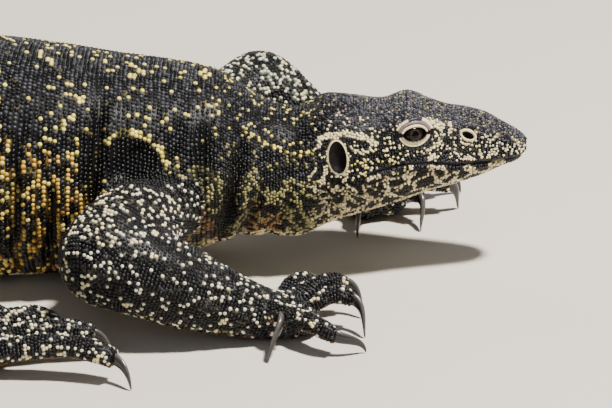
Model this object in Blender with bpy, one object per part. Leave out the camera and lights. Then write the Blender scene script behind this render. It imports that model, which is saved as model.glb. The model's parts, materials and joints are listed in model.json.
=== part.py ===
"""A life-size Nile monitor in mid step, as a still museum model.

The lizard faces +X with its left side towards +Y. Body, limbs and digits are lofts of rings along smooth
curves. The body is parted into head, jaw, neck, chest, trunk, hips and five lengths of tail, and each limb
into two segments and a hand or foot. Every claw and both eyes are pieces of their own. Neighbours meet face
to face with a thin gap. Sizes are in millimetres and are turned into metres where a mesh is made.
"""

import math
from collections import namedtuple

import bmesh
import bpy
import numpy as np

MM = 0.001
GAP = 0.3
ORIGIN = (-433.474, 33.1)
FLOOR_CUT_LOW = (-500, -300, -40)
FLOOR_CUT_HIGH = (300, 300, 0)

BODY_SIDES = 28
TAIL_SIDES = 18
LIMB_SIDES = 14
DIGIT_SIDES = 10
CLAW_SIDES = 8
RIM_SIDES = 5
RIM_STEPS = 14

# One row for each landmark from snout to tail tip. top and bottom are heights above the floor, waist is the
# share of the height at which the section is widest, upper and lower say how square its two halves are.
Station = namedtuple("Station", "x y top bottom half_width waist upper lower")
BODY = (
    Station(168.4, -1.0, 63.8, 59.0, 2.6, 0.50, 2.0, 2.0),
    Station(166.4, -1.0, 66.0, 56.0, 6.0, 0.48, 2.1, 2.0),
    Station(163.0, -1.0, 68.2, 53.6, 9.0, 0.46, 2.3, 2.0),
    Station(157.0, -1.0, 71.3, 50.4, 11.6, 0.44, 2.5, 2.0),
    Station(146.6, -0.5, 76.2, 45.4, 14.6, 0.42, 2.6, 2.1),
    Station(132.0, 0.0, 78.2, 40.6, 18.4, 0.42, 2.7, 2.1),
    Station(122.0, 0.0, 81.2, 38.2, 21.6, 0.42, 2.7, 2.1),
    Station(111.0, 0.0, 83.6, 34.2, 25.0, 0.42, 2.6, 2.1),
    Station(99.0, 0.0, 81.2, 30.4, 27.4, 0.44, 2.5, 2.1),
    Station(86.0, 0.0, 83.2, 26.0, 28.0, 0.47, 2.3, 2.1),
    Station(74.0, 0.0, 84.6, 21.4, 27.2, 0.50, 2.2, 2.1),
    Station(58.0, 0.0, 77.8, 15.0, 28.2, 0.50, 2.1, 2.1),
    Station(48.0, 0.0, 79.6, 15.8, 29.6, 0.50, 2.1, 2.1),
    Station(36.0, 0.0, 86.0, 16.4, 33.8, 0.50, 2.1, 2.1),
    Station(20.0, 0.0, 95.6, 13.0, 41.5, 0.49, 2.1, 2.1),
    Station(0.0, 0.5, 99.2, 7.0, 49.0, 0.47, 2.1, 2.2),
    Station(-28.0, 1.0, 102.6, 3.0, 55.0, 0.45, 2.1, 2.2),
    Station(-56.0, 2.0, 106.5, 0.6, 59.5, 0.44, 2.1, 2.3),
    Station(-90.0, 5.0, 109.0, -0.8, 62.5, 0.43, 2.1, 2.4),
    Station(-125.0, 8.0, 109.0, -1.2, 63.0, 0.43, 2.1, 2.4),
    Station(-160.0, 8.5, 105.5, -1.2, 61.0, 0.43, 2.1, 2.4),
    Station(-200.0, 5.0, 98.0, -0.4, 54.5, 0.44, 2.1, 2.3),
    Station(-235.0, -1.0, 89.0, 3.6, 45.5, 0.46, 2.1, 2.2),
    Station(-265.0, -8.0, 82.0, 8.0, 38.0, 0.48, 2.0, 2.1),
    Station(-295.0, -15.0, 73.0, 8.0, 31.0, 0.47, 1.9, 2.1),
    Station(-325.0, -23.0, 63.0, 4.0, 25.0, 0.45, 1.8, 2.1),
    Station(-365.0, -32.0, 53.0, -0.2, 20.0, 0.43, 1.7, 2.1),
    Station(-425.0, -40.0, 44.0, -0.6, 16.0, 0.42, 1.6, 2.1),
    Station(-505.0, -38.0, 35.5, -0.6, 12.4, 0.42, 1.6, 2.1),
    Station(-600.0, -18.0, 28.0, -0.5, 9.4, 0.42, 1.6, 2.1),
    Station(-700.0, 8.0, 21.5, -0.4, 7.0, 0.42, 1.6, 2.1),
    Station(-800.0, 20.0, 15.8, -0.3, 5.0, 0.43, 1.7, 2.1),
    Station(-890.0, 11.0, 10.8, -0.2, 3.4, 0.45, 1.8, 2.1),
    Station(-970.0, -14.0, 6.6, -0.1, 2.2, 0.48, 1.9, 2.1),
    Station(-1035.0, -48.0, 3.2, 0.0, 1.2, 0.50, 2.0, 2.0),
)

# The x of each cut between neighbouring lengths of the body, and how many rings each length gets.
BodyPiece = namedtuple("BodyPiece", "name front back rings sides")
BODY_PIECES = (
    BodyPiece("neck", 64.0, 22.0, 7, BODY_SIDES),
    BodyPiece("chest", 22.0, -62.0, 9, BODY_SIDES),
    BodyPiece("trunk", -62.0, -215.0, 11, BODY_SIDES),
    BodyPiece("hips", -215.0, -300.0, 9, BODY_SIDES),
    BodyPiece("tail_1", -300.0, -420.0, 10, TAIL_SIDES),
    BodyPiece("tail_2", -420.0, -570.0, 9, TAIL_SIDES),
    BodyPiece("tail_3", -570.0, -730.0, 9, TAIL_SIDES),
    BodyPiece("tail_4", -730.0, -890.0, 9, TAIL_SIDES),
    BodyPiece("tail_5", -890.0, -1035.0, 9, TAIL_SIDES),
)
HEAD_BACK = 64.0
HEAD_RINGS = 22
HEAD_RING_CROWDING = 1.45
# The body from nape to tail root, which trims the roots of the limbs.
CUTTER_FRONT, CUTTER_BACK, CUTTER_RINGS = 90.0, -350.0, 44

# Swellings and hollows of the head: place along x, angle above the side, spread along x, spread in degrees,
# height outwards.
Swelling = namedtuple("Swelling", "x angle along around height")
HEAD_FORMS = (
    Swelling(112.0, 52.0, 8.5, 15.0, 2.4),
    Swelling(137.0, 55.0, 10.0, 13.0, 1.1),
    Swelling(88.0, -6.0, 11.0, 30.0, 1.8),
    Swelling(129.0, 22.0, 6.5, 16.0, -1.7),
    Swelling(98.0, 34.0, 7.0, 13.0, -1.2),
)

# Height of the line of the mouth along x, from its corner to the front.
MOUTH_X = (88.0, 98.6, 109.0, 119.0, 127.4, 136.0, 147.0, 163.5, 176.0)
MOUTH_Z = (53.0, 57.4, 59.4, 59.2, 57.8, 56.2, 56.4, 57.0, 57.2)
MOUTH_WIDTH, MOUTH_FLOOR = 90.0, -20.0
MOUTH_CUT_FRONT, MOUTH_CUT_STEPS = 92.0, 22
LIP_RADIUS, LIP_END_RADIUS, LIP_OFFSET = 1.7, 0.6, 1.9
LIP_BACK, LIP_FRONT, LIP_STEPS = 93.0, 165.0, 13

EYE_X, EYE_Z = 114.4, 73.0
EYE_RADIUS = 6.2
EYE_DEPTH = 4.0
LID_LENGTH, LID_HEIGHT, LID_RADIUS, LID_TILT, LID_POINT = 6.3, 4.5, 1.5, 4.0, 1.2
NOSTRIL_X, NOSTRIL_Z = 140.6, 69.6
NOSTRIL_LENGTH, NOSTRIL_HEIGHT, NOSTRIL_RADIUS, NOSTRIL_TILT = 3.9, 2.3, 1.0, -24.0
EAR_X, EAR_Z = 78.0, 62.6
EAR_LENGTH, EAR_HEIGHT, EAR_RADIUS, EAR_TILT = 4.4, 7.8, 1.1, 6.0
EAR_DEPTH, EAR_LIFT = 3.2, 0.6
NOSTRIL_DEPTH = 3.0
CHEEK_LIMIT = 0.98
HOLLOW_MARGIN = 0.4
BALL_SIDES, BALL_ROWS, BALL_LATITUDE = 14, 8, 88.0
NOSTRIL_SIDES, NOSTRIL_ROWS, EAR_SIDES, EAR_ROWS = 10, 6, 12, 6

# A limb's segments run through these places. Radii are given across and upwards at each place.
Segment = namedtuple("Segment", "name places across upward rings")
LIMBS = {
    "right_arm": (
        Segment(
            "upper_arm_right",
            ((-5, -30, 50), (-9, -51, 43), (-20, -74, 45), (-30, -90, 39)),
            (21, 18.5, 21, 21),
            (20, 17.5, 22, 21),
            8,
        ),
        Segment(
            "forearm_right",
            ((-29, -92, 38), (-9, -96, 32), (11, -96, 24), (31, -95, 16)),
            (18, 20.5, 19, 13),
            (18.5, 20.5, 18.5, 12),
            8,
        ),
    ),
    "left_arm": (
        Segment(
            "upper_arm_left",
            ((2, 32, 53), (8, 50, 51), (24, 70, 52), (40, 86, 53)),
            (22, 21, 18, 19),
            (23, 21, 18, 19.5),
            8,
        ),
        Segment(
            "forearm_left",
            ((40, 86, 53), (54, 81, 45), (72, 71, 30), (86, 63, 17)),
            (17, 18, 16, 12),
            (17, 18, 16, 11),
            8,
        ),
    ),
    "right_leg": (
        Segment(
            "thigh_right",
            ((-262, -20, 46), (-256, -44, 48), (-231, -71, 55), (-203, -94, 57)),
            (27, 27, 25, 19),
            (30, 29, 25, 19),
            8,
        ),
        Segment(
            "shin_right",
            ((-203, -94, 57), (-184, -103, 46), (-160, -113, 31), (-136, -121, 18)),
            (17, 18, 15, 11),
            (17, 18, 15, 11),
            8,
        ),
    ),
    "left_leg": (
        Segment(
            "thigh_left",
            ((-266, 10, 46), (-260, 34, 48), (-248, 68, 50), (-234, 102, 50)),
            (27, 27, 25, 19),
            (30, 29, 25, 19),
            8,
        ),
        Segment(
            "shin_left",
            ((-234, 102, 50), (-252, 113, 42), (-276, 127, 30), (-296, 140, 19)),
            (17, 18, 15, 11),
            (17, 18, 15, 11),
            8,
        ),
    ),
}

# A digit starts forward and outward of its palm's centre. Headings are degrees from the palm's own heading,
# towards the outer side. end is the height of its claw's root.
Digit = namedtuple("Digit", "forward outward heading reach end claw_heading claw_reach radius")
RIGHT_HAND = (
    Digit(2, -10, -50, 24, 15, -30, 10, 4.9),
    Digit(7, -6, -30, 31, 16, 27, 10, 5.1),
    Digit(8, 0, -7, 29, 16, 56, 12, 5.2),
    Digit(6, 6, 42, 31, 10, -12, 15, 5.1),
    Digit(-3, 5, 66, 18, 17, 112, 15, 4.9),
)
LEFT_HAND = (
    Digit(2, -9, -100, 15, 13, -98, 10, 4.9),
    Digit(8, -5, -26, 22, 15, -82, 10, 5.1),
    Digit(10, 1, -2, 32, 15, 40, 8, 5.2),
    Digit(8, 7, 22, 34, 15, 31, 12, 5.1),
    Digit(2, 11, 60, 24, 13, 62, 12, 4.9),
)
FEET = (
    Digit(-4, -11, -60, 29, 11, -58, 12, 5.8),
    Digit(1, -8, -33, 38, 12, -50, 13, 6.1),
    Digit(4, 2, -10, 53, 12, 9, 9, 6.3),
    Digit(2, 11, 8, 65, 12, 47, 13, 6.4),
    Digit(-12, 9, 66, 33, 11, 70, 12, 5.8),
)

# Each palm or sole: limb it belongs to, side (-1 right, 1 left), centre, heading in degrees, the path
# from wrist to knuckles, its radii, and its digits.
Foot = namedtuple("Foot", "name limb side centre heading places across upward digits")
HANDS_AND_FEET = (
    Foot("hand_right", "right_arm", -1, (47, -89), 0,
         ((23, -94, 18), (36, -92, 13), (47, -90, 10), (57, -89, 8)), (11, 14, 16, 13), (10, 12, 11, 7.5),
         RIGHT_HAND),
    Foot("hand_left", "left_arm", 1, (90, 60), 0,
         ((80, 65, 21), (86, 62, 14), (92, 60, 10), (101, 60, 8)), (11, 13, 15.5, 12), (10, 12, 11, 7.5),
         LEFT_HAND),
    Foot("foot_right", "right_leg", -1, (-92, -126), 0,
         ((-144, -118, 21), (-128, -122, 14), (-108, -125, 9), (-88, -126, 7)), (9, 11, 15, 14),
         (9, 11, 9.5, 7.5), FEET),
    Foot("foot_left", "left_leg", 1, (-262, 166), 50,
         ((-300, 136, 21), (-290, 145, 14), (-275, 155, 9), (-260, 168, 7)), (9, 11, 15, 14),
         (9, 11, 9.5, 7.5), FEET),
)
# Degrees from the joint at which a limb's rounded ends have their rings.
LIMB_END_TURNS = (28.0, 55.0, 80.0)
PALM_RINGS = 6
DIGIT_RINGS = 7
DIGIT_GUIDE, DIGIT_END_ARCH, DIGIT_FLATNESS = 0.35, 0.4, 0.95
KNUCKLE_RISE, KNUCKLE_WAVES = 0.45, 3
DIGIT_START_HEIGHT = 8.5
DIGIT_ARCH = 6.0
DIGIT_END_SHARE = 0.78
CLAW_RINGS = 6
CLAW_HALF_HEIGHT, CLAW_HALF_WIDTH, CLAW_TIP_RADIUS = 3.2, 2.1, 0.4
CLAW_TAPER = 0.62
# A claw leaves between its digit's heading and its own, a little downwards, and drops on its tip.
LEAVE_DIGIT, LEAVE_CLAW, LEAVE_DOWN = 0.7, 0.5, 0.25
CLAW_GUIDE, CLAW_BACK, CLAW_DROP = 0.38, 0.05, 0.33

SKIN_COLOUR = (0.035, 0.038, 0.046, 1.0)
EYE_COLOUR = (0.010, 0.009, 0.008, 1.0)
CLAW_COLOUR = (0.060, 0.052, 0.046, 1.0)
SKIN_ROUGHNESS, EYE_ROUGHNESS, CLAW_ROUGHNESS = 0.42, 0.08, 0.35
SHARP_ANGLE = 50.0


def clear_scene():
    for obj in list(bpy.data.objects):
        bpy.data.objects.remove(obj, do_unlink=True)


def smooth_values(knots, rows, at):
    """The rows read at other places through a monotone cubic, which never swings past its knots."""
    knots = np.asarray(knots, float)
    rows = np.asarray(rows, float).reshape(len(knots), -1)
    at = np.atleast_1d(np.asarray(at, float))
    step = np.diff(knots)[:, None]
    slope = np.diff(rows, axis=0) / step
    before, after = slope[:-1], slope[1:]
    early = 2 * step[1:] + step[:-1]
    late = step[1:] + 2 * step[:-1]
    same_way = before * after > 0
    safe_before = np.where(same_way, before, 1.0)
    safe_after = np.where(same_way, after, 1.0)
    lean = (early + late) / (early / safe_before + late / safe_after)
    tangent = np.vstack((slope[:1], np.where(same_way, lean, 0.0), slope[-1:]))
    span = np.clip(np.searchsorted(knots, at, side="right") - 1, 0, len(step) - 1)
    width = step[span]
    u = (at[:, None] - knots[span][:, None]) / width
    start, end = rows[span], rows[span + 1]
    lift = (1 + 2 * u) * (1 - u) ** 2 * start + u * u * (3 - 2 * u) * end
    return lift + width * (u * (1 - u) ** 2 * tangent[span] - u * u * (1 - u) * tangent[span + 1])


def along(points):
    """The distance of each point from the first along the chain."""
    steps = np.linalg.norm(np.diff(np.asarray(points, float), axis=0), axis=1)
    return np.concatenate(((0.0,), np.cumsum(steps)))


BODY_ROWS = np.array(BODY)
BODY_KNOTS = along(BODY_ROWS[:, :2])


def body_place(x):
    """How far along the spine the body reaches a given x."""
    return float(np.interp(-x, -BODY_ROWS[:, 0], BODY_KNOTS))


def bent_angles(count):
    """Angles round a section, starting at the left side and rising over the back."""
    return np.linspace(0.0, 2 * math.pi, count, endpoint=False) + math.pi / count


def head_forms(x, angle):
    """How far the head's swellings push its surface out at this x and these angles of the section."""
    above_side = np.degrees(np.arctan2(np.sin(angle), np.abs(np.cos(angle))))
    push = np.zeros_like(angle)
    for form in HEAD_FORMS:
        away = ((x - form.x) / form.along) ** 2 + ((above_side - form.angle) / form.around) ** 2
        push += form.height * np.exp(-away)
    return push


def body_ring(place, count, grow=0.0):
    """One upright section of the body: a superellipse whose upper and lower halves have their own height."""
    x, y, top, bottom, half_width, waist, upper, lower = smooth_values(BODY_KNOTS, BODY_ROWS, place)[0]
    reach = 1.0
    behind, ahead = smooth_values(BODY_KNOTS, BODY_ROWS[:, :2], (place + reach, place - reach))
    forward = (ahead - behind) / np.linalg.norm(ahead - behind)
    left = np.array((-forward[1], forward[0]))
    angle = bent_angles(count)
    across, rise = np.cos(angle), np.sin(angle)
    power = 2.0 / np.where(rise > 0, upper, lower)
    middle = bottom + waist * (top - bottom)
    half_height = np.where(rise > 0, top - middle, middle - bottom)
    push = head_forms(x, angle) + grow
    lateral = half_width * np.sign(across) * np.abs(across) ** power + push * across
    height = middle + half_height * np.sign(rise) * np.abs(rise) ** power + push * rise
    height = np.maximum(height, -grow)
    return np.column_stack((x + lateral * left[0], y + lateral * left[1], height))


def body_rings(front, back, rings, count, grow=0.0):
    """Sections of the body between two places along the spine."""
    return np.array([body_ring(place, count, grow) for place in np.linspace(front, back, rings)])


def snout_rings(count):
    """Sections of the head, closer together towards the snout."""
    share = np.linspace(0.0, 1.0, HEAD_RINGS) ** HEAD_RING_CROWDING
    places = share * (body_place(HEAD_BACK) - GAP / 2)
    return np.array([body_ring(place, count) for place in places])


def cheek(x, z):
    """Half width of the head's surface at this x and height, from the section's own formula."""
    row = smooth_values(BODY_KNOTS, BODY_ROWS, body_place(x))[0]
    _, _, top, bottom, half_width, waist, upper, lower = row
    middle = bottom + waist * (top - bottom)
    power = upper if z > middle else lower
    half_height = top - middle if z > middle else middle - bottom
    share = min(abs(z - middle) / half_height, CHEEK_LIMIT)
    width = half_width * (1 - share**power) ** (1 / power)
    angle = np.array([math.atan2((z - middle) / half_height, width / half_width)])
    return width + float(head_forms(x, angle)[0]) * math.cos(angle[0])


def cheek_point(x, z, side):
    """A point on the head's side, and the outward direction there."""
    step = 0.5
    width = cheek(x, z)
    slope_x = (cheek(x + step, z) - cheek(x - step, z)) / (2 * step)
    slope_z = (cheek(x, z + step) - cheek(x, z - step)) / (2 * step)
    outward = np.array((-slope_x, side, -slope_z))
    return np.array((x, side * width, z)), outward / np.linalg.norm(outward)


def mesh_object(name, points, faces):
    """A mesh of these points in millimetres, moved to the model's origin, with its faces turned outwards."""
    mesh = bpy.data.meshes.new(name)
    placed = (np.asarray(points, float) - (ORIGIN[0], ORIGIN[1], 0.0)) * MM
    mesh.from_pydata(placed.tolist(), [], faces)
    shape = bmesh.new()
    shape.from_mesh(mesh)
    bmesh.ops.recalc_face_normals(shape, faces=shape.faces)
    shape.to_mesh(mesh)
    shape.free()
    obj = bpy.data.objects.new(name, mesh)
    bpy.context.scene.collection.objects.link(obj)
    return obj


def loft(name, rings, closed_path=False):
    """A skin through rings of equal count, capped at both ends or joined end to start."""
    count = rings.shape[1]
    rows = len(rings)
    faces = []
    for row in range(rows if closed_path else rows - 1):
        here, there = row * count, (row + 1) % rows * count
        for k in range(count):
            following = (k + 1) % count
            faces.append((here + k, here + following, there + following, there + k))
    if not closed_path:
        faces.append(tuple(range(count)))
        faces.append(tuple(range((rows - 1) * count, rows * count)))
    return mesh_object(name, rings.reshape(-1, 3), faces)


def frames(path):
    """Tangent, side and up directions along a path, with the side kept level."""
    tangent = np.gradient(path, axis=0)
    tangent /= np.linalg.norm(tangent, axis=1)[:, None]
    side = np.cross(tangent, (0.0, 0.0, 1.0))
    side /= np.linalg.norm(side, axis=1)[:, None]
    return tangent, side, np.cross(side, tangent)


def tube_rings(path, across, upward, count, tangents=None):
    """Elliptical sections square to the path."""
    tangent, side, up = frames(path)
    if tangents is not None:
        side = np.cross(tangents, (0.0, 0.0, 1.0))
        side /= np.linalg.norm(side, axis=1)[:, None]
        up = np.cross(side, tangents)
    angle = bent_angles(count)
    reach_side = across[:, None, None] * np.cos(angle)[None, :, None] * side[:, None, :]
    reach_up = upward[:, None, None] * np.sin(angle)[None, :, None] * up[:, None, :]
    return path[:, None, :] + reach_side + reach_up


def limb_rings(segment_places, across, upward, rings, count, grow=0.0):
    """Rings along a limb's segment with a rounded start and end."""
    knots = along(segment_places)
    rows = np.column_stack((segment_places, across, upward))
    values = smooth_values(knots, rows, np.linspace(0.0, knots[-1], rings))
    path, widths, heights = values[:, :3], values[:, 3] + grow, values[:, 4] + grow
    tangent, _, _ = frames(path)
    start, end = [], []
    for turn in LIMB_END_TURNS:
        shrink, push = math.cos(math.radians(turn)), math.sin(math.radians(turn))
        start.insert(0, (path[0] - tangent[0] * widths[0] * push, widths[0] * shrink, heights[0] * shrink))
        end.append((path[-1] + tangent[-1] * widths[-1] * push, widths[-1] * shrink, heights[-1] * shrink))
    whole_path = np.vstack([row[0] for row in start] + [path] + [row[0] for row in end])
    whole_across = np.concatenate(([row[1] for row in start], widths, [row[1] for row in end]))
    whole_upward = np.concatenate(([row[2] for row in start], heights, [row[2] for row in end]))
    tangents = np.vstack([tangent[:1]] * len(start) + [tangent] + [tangent[-1:]] * len(end))
    return tube_rings(whole_path, whole_across, whole_upward, count, tangents)


def settle(obj):
    """Turns what the modifiers make into the object's own mesh."""
    bpy.context.view_layer.update()
    graph = bpy.context.evaluated_depsgraph_get()
    made = bpy.data.meshes.new_from_object(obj.evaluated_get(graph))
    old = obj.data
    obj.modifiers.clear()
    obj.data = made
    bpy.data.meshes.remove(old)


def keep_largest(obj):
    """Drops every closed surface of the mesh but the one with the most faces."""
    shape = bmesh.new()
    shape.from_mesh(obj.data)
    left = set(shape.faces)
    islands = []
    while left:
        stack = [left.pop()]
        island = list(stack)
        while stack:
            face = stack.pop()
            for edge in face.edges:
                for other in edge.link_faces:
                    if other in left:
                        left.remove(other)
                        stack.append(other)
                        island.append(other)
        islands.append(island)
    islands.sort(key=len)
    for island in islands[:-1]:
        bmesh.ops.delete(shape, geom=island, context="FACES")
    shape.to_mesh(obj.data)
    shape.free()


def combine(obj, others, operation, solver="EXACT"):
    """One Boolean of the object with a collection of closed meshes, which are removed afterwards."""
    group = bpy.data.collections.new("operands")
    bpy.context.scene.collection.children.link(group)
    for other in others:
        group.objects.link(other)
        other.hide_render = True
        other.display_type = "WIRE"
    modifier = obj.modifiers.new("boolean", "BOOLEAN")
    modifier.operand_type = "COLLECTION"
    modifier.collection = group
    modifier.operation = operation
    modifier.solver = solver
    settle(obj)
    for other in others:
        bpy.data.objects.remove(other, do_unlink=True)
    bpy.data.collections.remove(group)
    keep_largest(obj)
    return obj


def box(name, low, high):
    """A closed box between two corners."""
    corners = [(x, y, z) for x in (low[0], high[0]) for y in (low[1], high[1]) for z in (low[2], high[2])]
    faces = [(0, 1, 3, 2), (4, 6, 7, 5), (0, 4, 5, 1), (2, 3, 7, 6), (0, 2, 6, 4), (1, 5, 7, 3)]
    return mesh_object(name, corners, faces)


def below_floor():
    """What lies under the floor, cut away from a hand or foot to leave its flat."""
    return box("below_floor", FLOOR_CUT_LOW, FLOOR_CUT_HIGH)


def ellipsoid(name, centre, axes, radii, count=BALL_SIDES, rows=BALL_ROWS):
    """A closed ellipsoid with its own three directions."""
    turn = np.linspace(-BALL_LATITUDE, BALL_LATITUDE, rows)
    angle = bent_angles(count)
    rings = []
    for degrees in turn:
        level, size = math.sin(math.radians(degrees)), math.cos(math.radians(degrees))
        flat = np.outer(np.cos(angle), axes[0]) * radii[0] + np.outer(np.sin(angle), axes[1]) * radii[1]
        rings.append(centre + flat * size + np.asarray(axes[2]) * radii[2] * level)
    return loft(name, np.array(rings))


def surface_axes(outward, tilt):
    """Two directions lying on the head's side, the first turned up by the tilt, and the outward one."""
    level = np.cross((0.0, 0.0, 1.0), outward)
    level /= np.linalg.norm(level)
    if level[0] < 0:
        level = -level
    rise = np.cross(outward, level)
    if rise[2] < 0:
        rise = -rise
    lean = math.radians(tilt)
    first = level * math.cos(lean) + rise * math.sin(lean)
    second = rise * math.cos(lean) - level * math.sin(lean)
    return first, second, outward


def rim(name, x, z, side, length, height, radius, tilt, pointed=1.0):
    """A rounded ring lying on the head's side, as round an eye, ear or nostril."""
    centre, outward = cheek_point(x, z, side)
    first, second, _ = surface_axes(outward, tilt)
    turn = np.linspace(0.0, 2 * math.pi, RIM_STEPS, endpoint=False)
    wide = np.cos(turn)
    high = np.sign(np.sin(turn)) * np.abs(np.sin(turn)) ** pointed
    path = []
    for a, b in zip(wide * length, high * height):
        flat = centre + first * a + second * b
        point, _ = cheek_point(flat[0], flat[2], side)
        path.append(point)
    path = np.array(path)
    ahead = np.roll(path, -1, axis=0) - np.roll(path, 1, axis=0)
    ahead /= np.linalg.norm(ahead, axis=1)[:, None]
    inner = np.cross(ahead, outward)
    inner /= np.linalg.norm(inner, axis=1)[:, None]
    raised = np.cross(inner, ahead)
    angle = bent_angles(RIM_SIDES)
    flat_part = np.cos(angle)[None, :, None] * inner[:, None, :]
    around = flat_part + np.sin(angle)[None, :, None] * raised[:, None, :]
    return loft(name, path[:, None, :] + radius * around, closed_path=True)


def mouth_height(x):
    return float(smooth_values(MOUTH_X, MOUTH_Z, x)[0, 0])


def lip(name, offset):
    """A roll of lip that follows the line of the mouth from corner to corner round the snout."""
    xs = np.linspace(LIP_BACK, LIP_FRONT, LIP_STEPS)
    right = [cheek_point(x, mouth_height(x) + offset, -1)[0] for x in xs]
    left = [cheek_point(x, mouth_height(x) + offset, 1)[0] for x in xs[::-1]]
    path = np.array(right + left)
    size = np.full(len(path), LIP_RADIUS)
    size[[0, -1]] = LIP_END_RADIUS
    return loft(name, tube_rings(path, size, size, RIM_SIDES))


def mouth_prism(name, lift, back):
    """What lies below the line of the mouth, raised by a lift, from behind its corner to past the snout."""
    xs = np.concatenate(((back,), np.linspace(MOUTH_CUT_FRONT, MOUTH_X[-1], MOUTH_CUT_STEPS)))
    top = [mouth_height(x) + lift for x in xs]
    half = MOUTH_WIDTH / 2
    points = []
    for side in (-half, half):
        points += [(x, side, z) for x, z in zip(xs, top)]
        points += [(x, side, MOUTH_FLOOR) for x in xs[::-1]]
    count = 2 * len(xs)
    faces = [tuple(range(count)), tuple(range(count, 2 * count))]
    for k in range(count):
        following = (k + 1) % count
        faces.append((k, following, count + following, count + k))
    return mesh_object(name, points, faces)


def finish(obj, colour, roughness):
    """Smooth shading and a plain painted surface."""
    obj.data.shade_smooth()
    obj.data.set_sharp_from_angle(angle=math.radians(SHARP_ANGLE))
    material = bpy.data.materials.new(obj.name)
    material.use_nodes = True
    shader = material.node_tree.nodes["Principled BSDF"]
    shader.inputs["Base Color"].default_value = colour
    shader.inputs["Roughness"].default_value = roughness
    shader.inputs["Metallic"].default_value = 0.0
    obj.data.materials.clear()
    obj.data.materials.append(material)
    return obj


def skin(obj):
    return finish(obj, SKIN_COLOUR, SKIN_ROUGHNESS)


def make_head():
    """Head and lower jaw, parted along the line of the mouth, with lips, lids, nostrils and ears."""
    whole = loft("head", snout_rings(BODY_SIDES))
    forms = [lip("upper_lip", LIP_OFFSET), lip("lower_lip", -LIP_OFFSET)]
    hollows = []
    for side in (-1, 1):
        forms.append(rim("lid", EYE_X, EYE_Z, side, LID_LENGTH, LID_HEIGHT, LID_RADIUS, LID_TILT,
                         LID_POINT))
        forms.append(rim("nostril_rim", NOSTRIL_X, NOSTRIL_Z, side, NOSTRIL_LENGTH, NOSTRIL_HEIGHT,
                         NOSTRIL_RADIUS, NOSTRIL_TILT))
        forms.append(rim("ear_rim", EAR_X, EAR_Z, side, EAR_LENGTH, EAR_HEIGHT, EAR_RADIUS, EAR_TILT))
        point, outward = cheek_point(EYE_X, EYE_Z, side)
        axes = surface_axes(outward, 0.0)
        socket = EYE_RADIUS + GAP
        hollows.append(ellipsoid("socket", point - outward * EYE_DEPTH, axes, (socket, socket, socket)))
        skin_eye = ellipsoid(("eye_right", "", "eye_left")[side + 1], point - outward * EYE_DEPTH, axes,
                             (EYE_RADIUS, EYE_RADIUS, EYE_RADIUS))
        finish(skin_eye, EYE_COLOUR, EYE_ROUGHNESS)
        point, outward = cheek_point(NOSTRIL_X, NOSTRIL_Z, side)
        radii = (NOSTRIL_LENGTH - HOLLOW_MARGIN, NOSTRIL_HEIGHT - HOLLOW_MARGIN, NOSTRIL_DEPTH)
        hollows.append(ellipsoid("nostril", point, surface_axes(outward, NOSTRIL_TILT), radii,
                                 NOSTRIL_SIDES, NOSTRIL_ROWS))
        point, outward = cheek_point(EAR_X, EAR_Z, side)
        radii = (EAR_LENGTH - HOLLOW_MARGIN, EAR_HEIGHT - HOLLOW_MARGIN, EAR_DEPTH)
        hollows.append(ellipsoid("ear", point + outward * EAR_LIFT, surface_axes(outward, EAR_TILT), radii,
                                 EAR_SIDES, EAR_ROWS))
    combine(whole, forms, "UNION")
    combine(whole, hollows, "DIFFERENCE", "MANIFOLD")
    jaw = bpy.data.objects.new("jaw", whole.data.copy())
    bpy.context.scene.collection.objects.link(jaw)
    combine(jaw, [mouth_prism("mouth", 0.0, MOUTH_X[0])], "INTERSECT")
    combine(whole, [mouth_prism("mouth", GAP, MOUTH_X[0] - GAP)], "DIFFERENCE")
    skin(whole)
    skin(jaw)


def make_body():
    """Neck, trunk and tail, in lengths with a thin gap between them."""
    for piece in BODY_PIECES:
        front = body_place(piece.front) + GAP / 2
        last = piece is BODY_PIECES[-1]
        back = body_place(piece.back) - (0.0 if last else GAP / 2)
        skin(loft(piece.name, body_rings(front, back, piece.rings, piece.sides)))


def body_cutter():
    """The body from nape to tail root, grown by the gap, which trims the roots of the limbs."""
    front, back = body_place(CUTTER_FRONT), body_place(CUTTER_BACK)
    return loft("body_cutter", body_rings(front, back, CUTTER_RINGS, BODY_SIDES, GAP))


def make_limbs():
    for segments in LIMBS.values():
        upper, lower = segments
        root = loft(upper.name, limb_rings(upper.places, upper.across, upper.upward, upper.rings, LIMB_SIDES))
        skin(combine(root, [body_cutter()], "DIFFERENCE"))
        far = loft(lower.name, limb_rings(lower.places, lower.across, lower.upward, lower.rings, LIMB_SIDES))
        cutter = limb_rings(upper.places, upper.across, upper.upward, upper.rings, LIMB_SIDES, GAP)
        skin(combine(far, [loft("cutter", cutter)], "DIFFERENCE"))


def turned(degrees):
    return np.array((math.cos(math.radians(degrees)), math.sin(math.radians(degrees)), 0.0))


def bezier(points, share):
    """A cubic curve with four guide points, read at these shares of its way."""
    a, b, c, d = (np.asarray(p, float) for p in points)
    u = np.asarray(share)[:, None]
    return (1 - u) ** 3 * a + 3 * u * (1 - u) ** 2 * b + 3 * u * u * (1 - u) * c + u**3 * d


def digit_course(foot, digit):
    """Where a digit and its claw run: start, claw root, claw tip, and the direction the claw leaves in."""
    centre = np.array((*foot.centre, 0.0))
    outer = foot.heading + foot.side * 90.0
    start = centre + digit.forward * turned(foot.heading) + digit.outward * turned(outer)
    way = turned(foot.heading + foot.side * digit.heading)
    claw_way = turned(foot.heading + foot.side * digit.claw_heading)
    start = start + (0.0, 0.0, DIGIT_START_HEIGHT)
    root = start + way * digit.reach
    root[2] = digit.end
    tip = root + claw_way * digit.claw_reach
    tip[2] = CLAW_TIP_RADIUS
    leaving = LEAVE_DIGIT * way + LEAVE_CLAW * claw_way - np.array((0.0, 0.0, LEAVE_DOWN))
    return start, way, root, tip, leaving / np.linalg.norm(leaving)


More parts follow.
